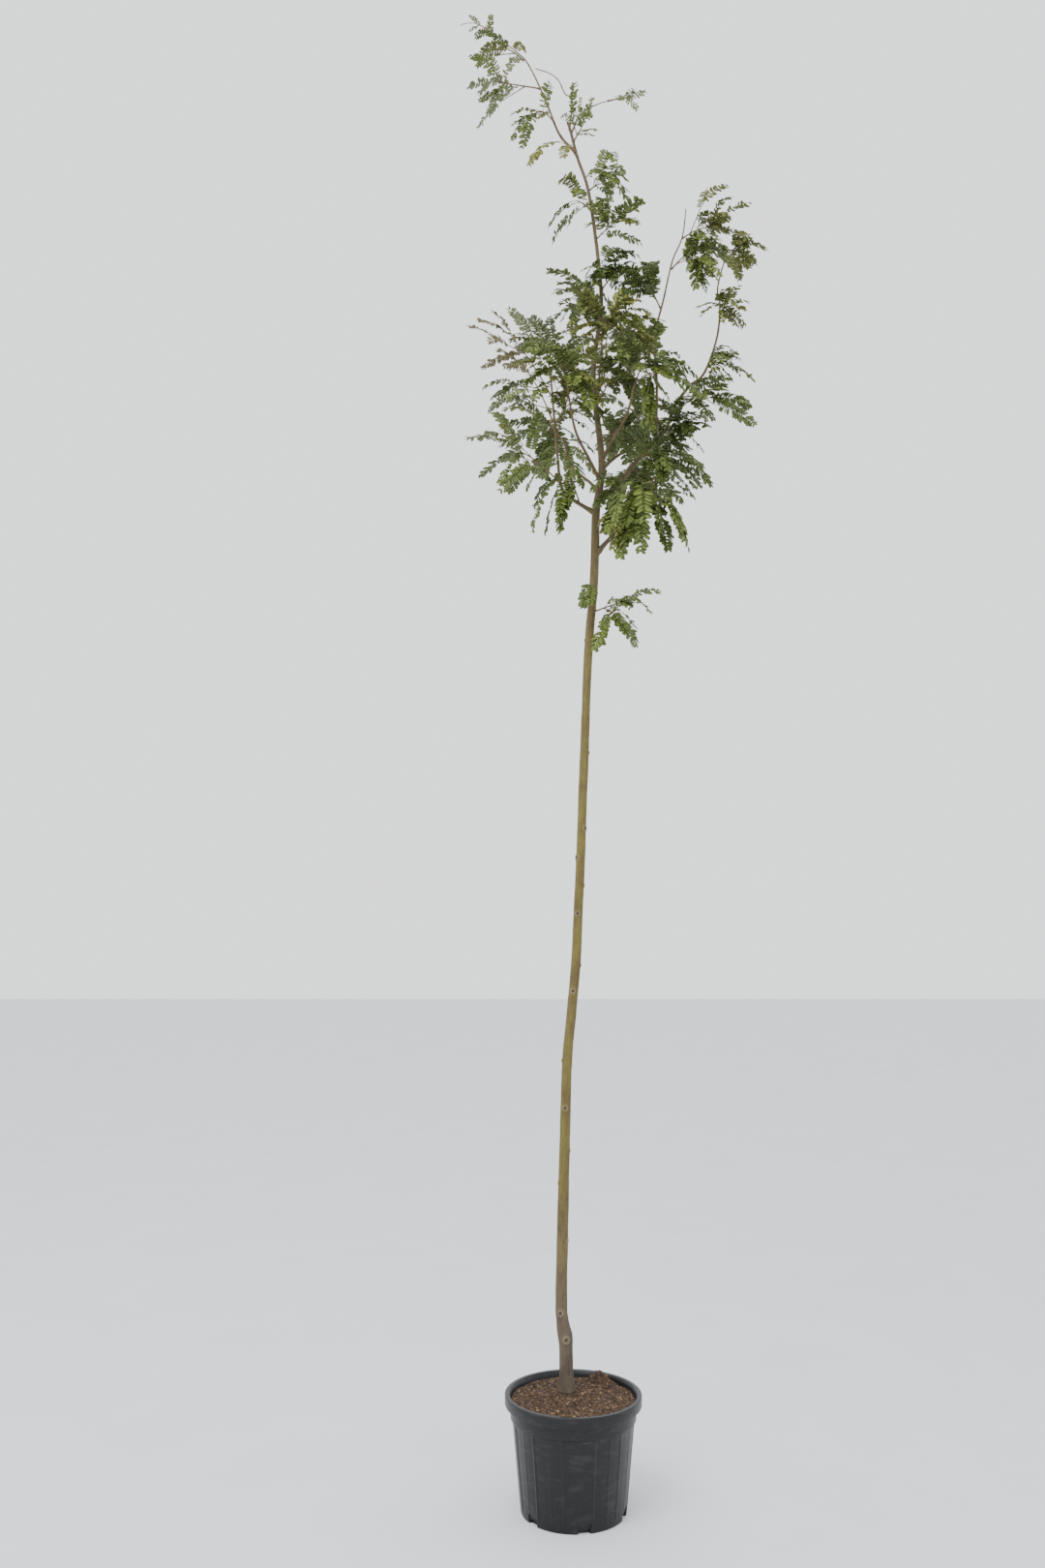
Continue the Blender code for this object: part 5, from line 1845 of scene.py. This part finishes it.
@dataclass
class PottingMix:
    """The potting mix and the chips that lie on it."""

    edge_height: float = 0.293
    foot_level: float = 0.3045
    heap_reach: float = 0.13
    stem_reach: float = 0.030
    ripple: float = 0.0016
    crumb: float = 0.0011
    clump_place: tuple = (0.078, 0.118)
    clump_height: float = 0.034
    clump_radius: float = 0.027
    rings: int = 90
    columns: int = 200
    ripple_waves: tuple = (61.0, 53.0)
    crumb_waves: tuple = (310.0, 170.0, 290.0, 190.0)
    fine_waves: tuple = (700.0, 410.0, 660.0, 430.0)
    fine_share: float = 0.6
    clump_roughness: float = 2.5
    chips: int = 3200
    chip_sizes: tuple = (0.002, 0.010)
    clear_of_stem: float = 0.026
    chip_widths: tuple = (0.18, 0.7)
    chip_thickness: tuple = (0.2, 0.5)
    chip_tilt: float = 0.28
    chip_corners: tuple = (0.6, 1.15)

    def height_at(self, x: Array, y: Array) -> Array:
        """Gives the mix's height: level, plus a heap at the stem, ripples, crumbs and one clump.

        Args:
            x: Places to the right.
            y: Places away from the front.

        Returns:
            The heights there.
        """
        from_foot = np.hypot(x - FOOT[0], y - FOOT[1])
        heap = np.clip(1.0 - (from_foot - self.stem_reach) / self.heap_reach, 0.0, 1.0) ** 1.5
        level = self.edge_height + (self.foot_level - self.edge_height) * heap
        across, away = self.ripple_waves
        ripples = self.ripple * np.sin(across * x + 1.0) * np.cos(away * y) * (1 - heap)
        a, b, c, d = self.crumb_waves
        crumbs = np.sin(a * x + 2 * np.sin(b * y)) * np.sin(c * y + 2 * np.sin(d * x))
        a, b, c, d = self.fine_waves
        fine = np.sin(a * x + 3 * np.sin(b * y)) * np.sin(c * y + 3 * np.sin(d * x))
        from_clump = np.hypot(x - self.clump_place[0], y - self.clump_place[1])
        bell = np.exp(-((from_clump / self.clump_radius) ** 2))
        rough = self.crumb * (1 + self.clump_roughness * bell) * (crumbs + self.fine_share * fine)
        return level + ripples + rough + self.clump_height * bell

    def build(self, pot: Pot) -> list[bpy.types.Object]:
        """Makes the mix as a closed disc of rings, and the chips.

        Args:
            pot: The pot that holds it.

        Returns:
            The pieces.
        """
        gap = CLEARANCE * 1.2
        rim = pot.inner_radius(self.edge_height) - gap
        share = np.linspace(0.0, 1.0, self.rings + 1)[1:, None]
        angle = np.linspace(0.0, FULL_TURN, self.columns, endpoint=False)
        x, y = rim * share * np.cos(angle), rim * share * np.sin(angle)
        height = self.height_at(x, y)
        foot_radius = pot.inner_radius(pot.floor) - gap
        low = np.stack([foot_radius * np.cos(angle), foot_radius * np.sin(angle),
                        np.full(self.columns, pot.floor + CLEARANCE)], axis=-1)
        skin = np.concatenate([np.stack([x, y, height], axis=-1), low[None]])[::-1]
        top_height = float(self.height_at(np.array(0.0), np.array(0.0)))
        points = np.vstack([skin.reshape(-1, 3), (0.0, 0.0, low[0, 2]), (0.0, 0.0, top_height)])
        shape = Shape(points, closed_triangles(len(skin), self.columns))
        mix = shape.to_object("potting_mix", MixFinish().material("potting_mix"))
        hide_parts("soil")
        return [mix, self.scatter_chips(rim)]

    def scatter_chips(self, rim: float) -> bpy.types.Object:
        """Scatters flat chips: a box whose corners are moved a little, turned and laid on the mix.

        Args:
            rim: The radius that they stay inside.

        Returns:
            The piece.
        """
        draw = np.random.default_rng(CHIP_SEED)
        count = self.chips
        away = (rim - 0.006) * np.sqrt(draw.random(count))
        turn = draw.uniform(0.0, FULL_TURN, count)
        x, y = away * np.cos(turn), away * np.sin(turn)
        keep = np.hypot(x - FOOT[0], y - FOOT[1]) > self.clear_of_stem
        x, y = x[keep], y[keep]
        count = len(x)
        size = self.chip_sizes[0] + (self.chip_sizes[1] - self.chip_sizes[0]) * (
            draw.random(count) ** 2.2)
        wide = size * draw.uniform(*self.chip_widths, count)
        thick = np.minimum(size, wide) * draw.uniform(*self.chip_thickness, count) + 0.0005
        corners = np.array([(i, j, k) for i in (-1, 1) for j in (-1, 1) for k in (-1, 1)]) / 2.0
        box = corners[None] * np.stack([size, wide, thick], axis=1)[:, None]
        box = box * draw.uniform(*self.chip_corners, box.shape)
        spin = draw.uniform(0.0, FULL_TURN, count)
        tip = draw.normal(0.0, self.chip_tilt, (2, count))
        way = unit(np.stack([np.cos(spin), np.sin(spin), tip[0]], axis=1))
        side = unit(np.cross(UP + np.stack([tip[1], -tip[0], 0 * spin], axis=1), way))
        above = np.cross(way, side)
        middle = np.stack([x, y, self.height_at(x, y) + thick * 0.35], axis=1)
        points = (middle[:, None] + box[..., :1] * way[:, None] + box[..., 1:2] * side[:, None]
                  + box[..., 2:] * above[:, None])
        faces = np.array([(0, 1, 3), (0, 3, 2), (4, 6, 7), (4, 7, 5), (0, 4, 5), (0, 5, 1),
                          (2, 3, 7), (2, 7, 6), (0, 2, 6), (0, 6, 4), (1, 5, 7), (1, 7, 3)])
        step = np.arange(count)[:, None, None] * 8
        shade = draw.random(count) ** 2.4
        shape = Shape(points.reshape(-1, 3), (faces + step).reshape(-1, 3),
                      {"shade": np.repeat(shade, 8)})
        piece = shape.to_object("chips", ChipFinish().material("chips"))
        piece.data.polygons.foreach_set("use_smooth", np.zeros(len(shape.triangles), dtype=bool))
        return piece


@dataclass
class Studio:
    """The floor, the light and the camera."""

    floor_size: float = 40.0
    floor_colour: tuple = (0.74, 0.75, 0.76)
    world_colour: tuple = (0.86, 0.88, 0.90)
    world_strength: float = 1.9
    key_place: tuple = (-2.2, -3.2, 6.0)
    key_size: float = 4.0
    key_power: float = 260.0
    camera_place: tuple = (-0.140, -3.777, 1.646)
    camera_pitch: float = math.radians(5.30)
    focal_length: float = 30.26
    film_height: float = 36.0

    def build(self) -> None:
        """Lays the floor, lights the scene and places the camera."""
        half = self.floor_size / 2
        mesh = bpy.data.meshes.new("floor")
        mesh.from_pydata([(-half, -half, 0), (half, -half, 0), (half, half, 0), (-half, half, 0)],
                         [], [(0, 1, 2, 3)])
        graph = Graph("floor")
        colour = graph.ramp(graph.noise(3.0, 4.0), (
            (0.3, tuple(part * 0.96 for part in self.floor_colour)), (0.7, self.floor_colour)))
        mesh.materials.append(graph.finished(colour, 0.9))
        floor = bpy.data.objects.new("floor", mesh)
        bpy.context.scene.collection.objects.link(floor)
        world = bpy.data.worlds.new("studio")
        world.use_nodes = True
        background = world.node_tree.nodes["Background"]
        background.inputs["Color"].default_value = (*self.world_colour, 1.0)
        background.inputs["Strength"].default_value = self.world_strength
        bpy.context.scene.world = world
        lamp = bpy.data.lights.new("key", "AREA")
        lamp.shape, lamp.size, lamp.energy = "DISK", self.key_size, self.key_power
        key = bpy.data.objects.new("key", lamp)
        key.location = self.key_place
        away = np.array((0.0, 0.0, 2.2)) - np.array(self.key_place)
        key.rotation_euler = (math.atan2(math.hypot(away[0], away[1]), -away[2]), 0.0,
                              math.atan2(away[1], away[0]) - math.pi / 2)
        bpy.context.scene.collection.objects.link(key)
        lens = bpy.data.cameras.new("camera")
        lens.sensor_width, lens.lens = self.film_height, self.focal_length
        camera = bpy.data.objects.new("camera", lens)
        camera.location = self.camera_place
        camera.rotation_euler = (math.pi / 2 + self.camera_pitch, 0.0, 0.0)
        bpy.context.scene.collection.objects.link(camera)
        bpy.context.scene.camera = camera


def main() -> None:
    """Builds the plant and the studio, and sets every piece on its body."""
    logging.basicConfig(level=logging.INFO, format="%(name)s %(message)s")
    limbs = plan_limbs()
    branching = Branching(limbs)
    masses = [Foliage(index, branching) for index in range(len(SPRAYS))]
    LOG.info("leaves: %d and %d between", sum(len(mass.leaves) for mass in masses),
             sum(len(mass.between) for mass in masses))
    wood = Wood()
    pot = Pot()
    for piece in (wood.trunk(limbs["trunk"]), wood.boughs(limbs), wood.thin_wood(branching)):
        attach(piece, BODY)
    for piece in FeatheredLeaves().build(masses):
        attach(piece, BODY)
    shell = pot.build()
    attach(shell, BODY)
    for piece in PottingMix().build(pot):
        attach(piece, BODY)
    Studio().build()


if __name__ == "__main__":
    main()
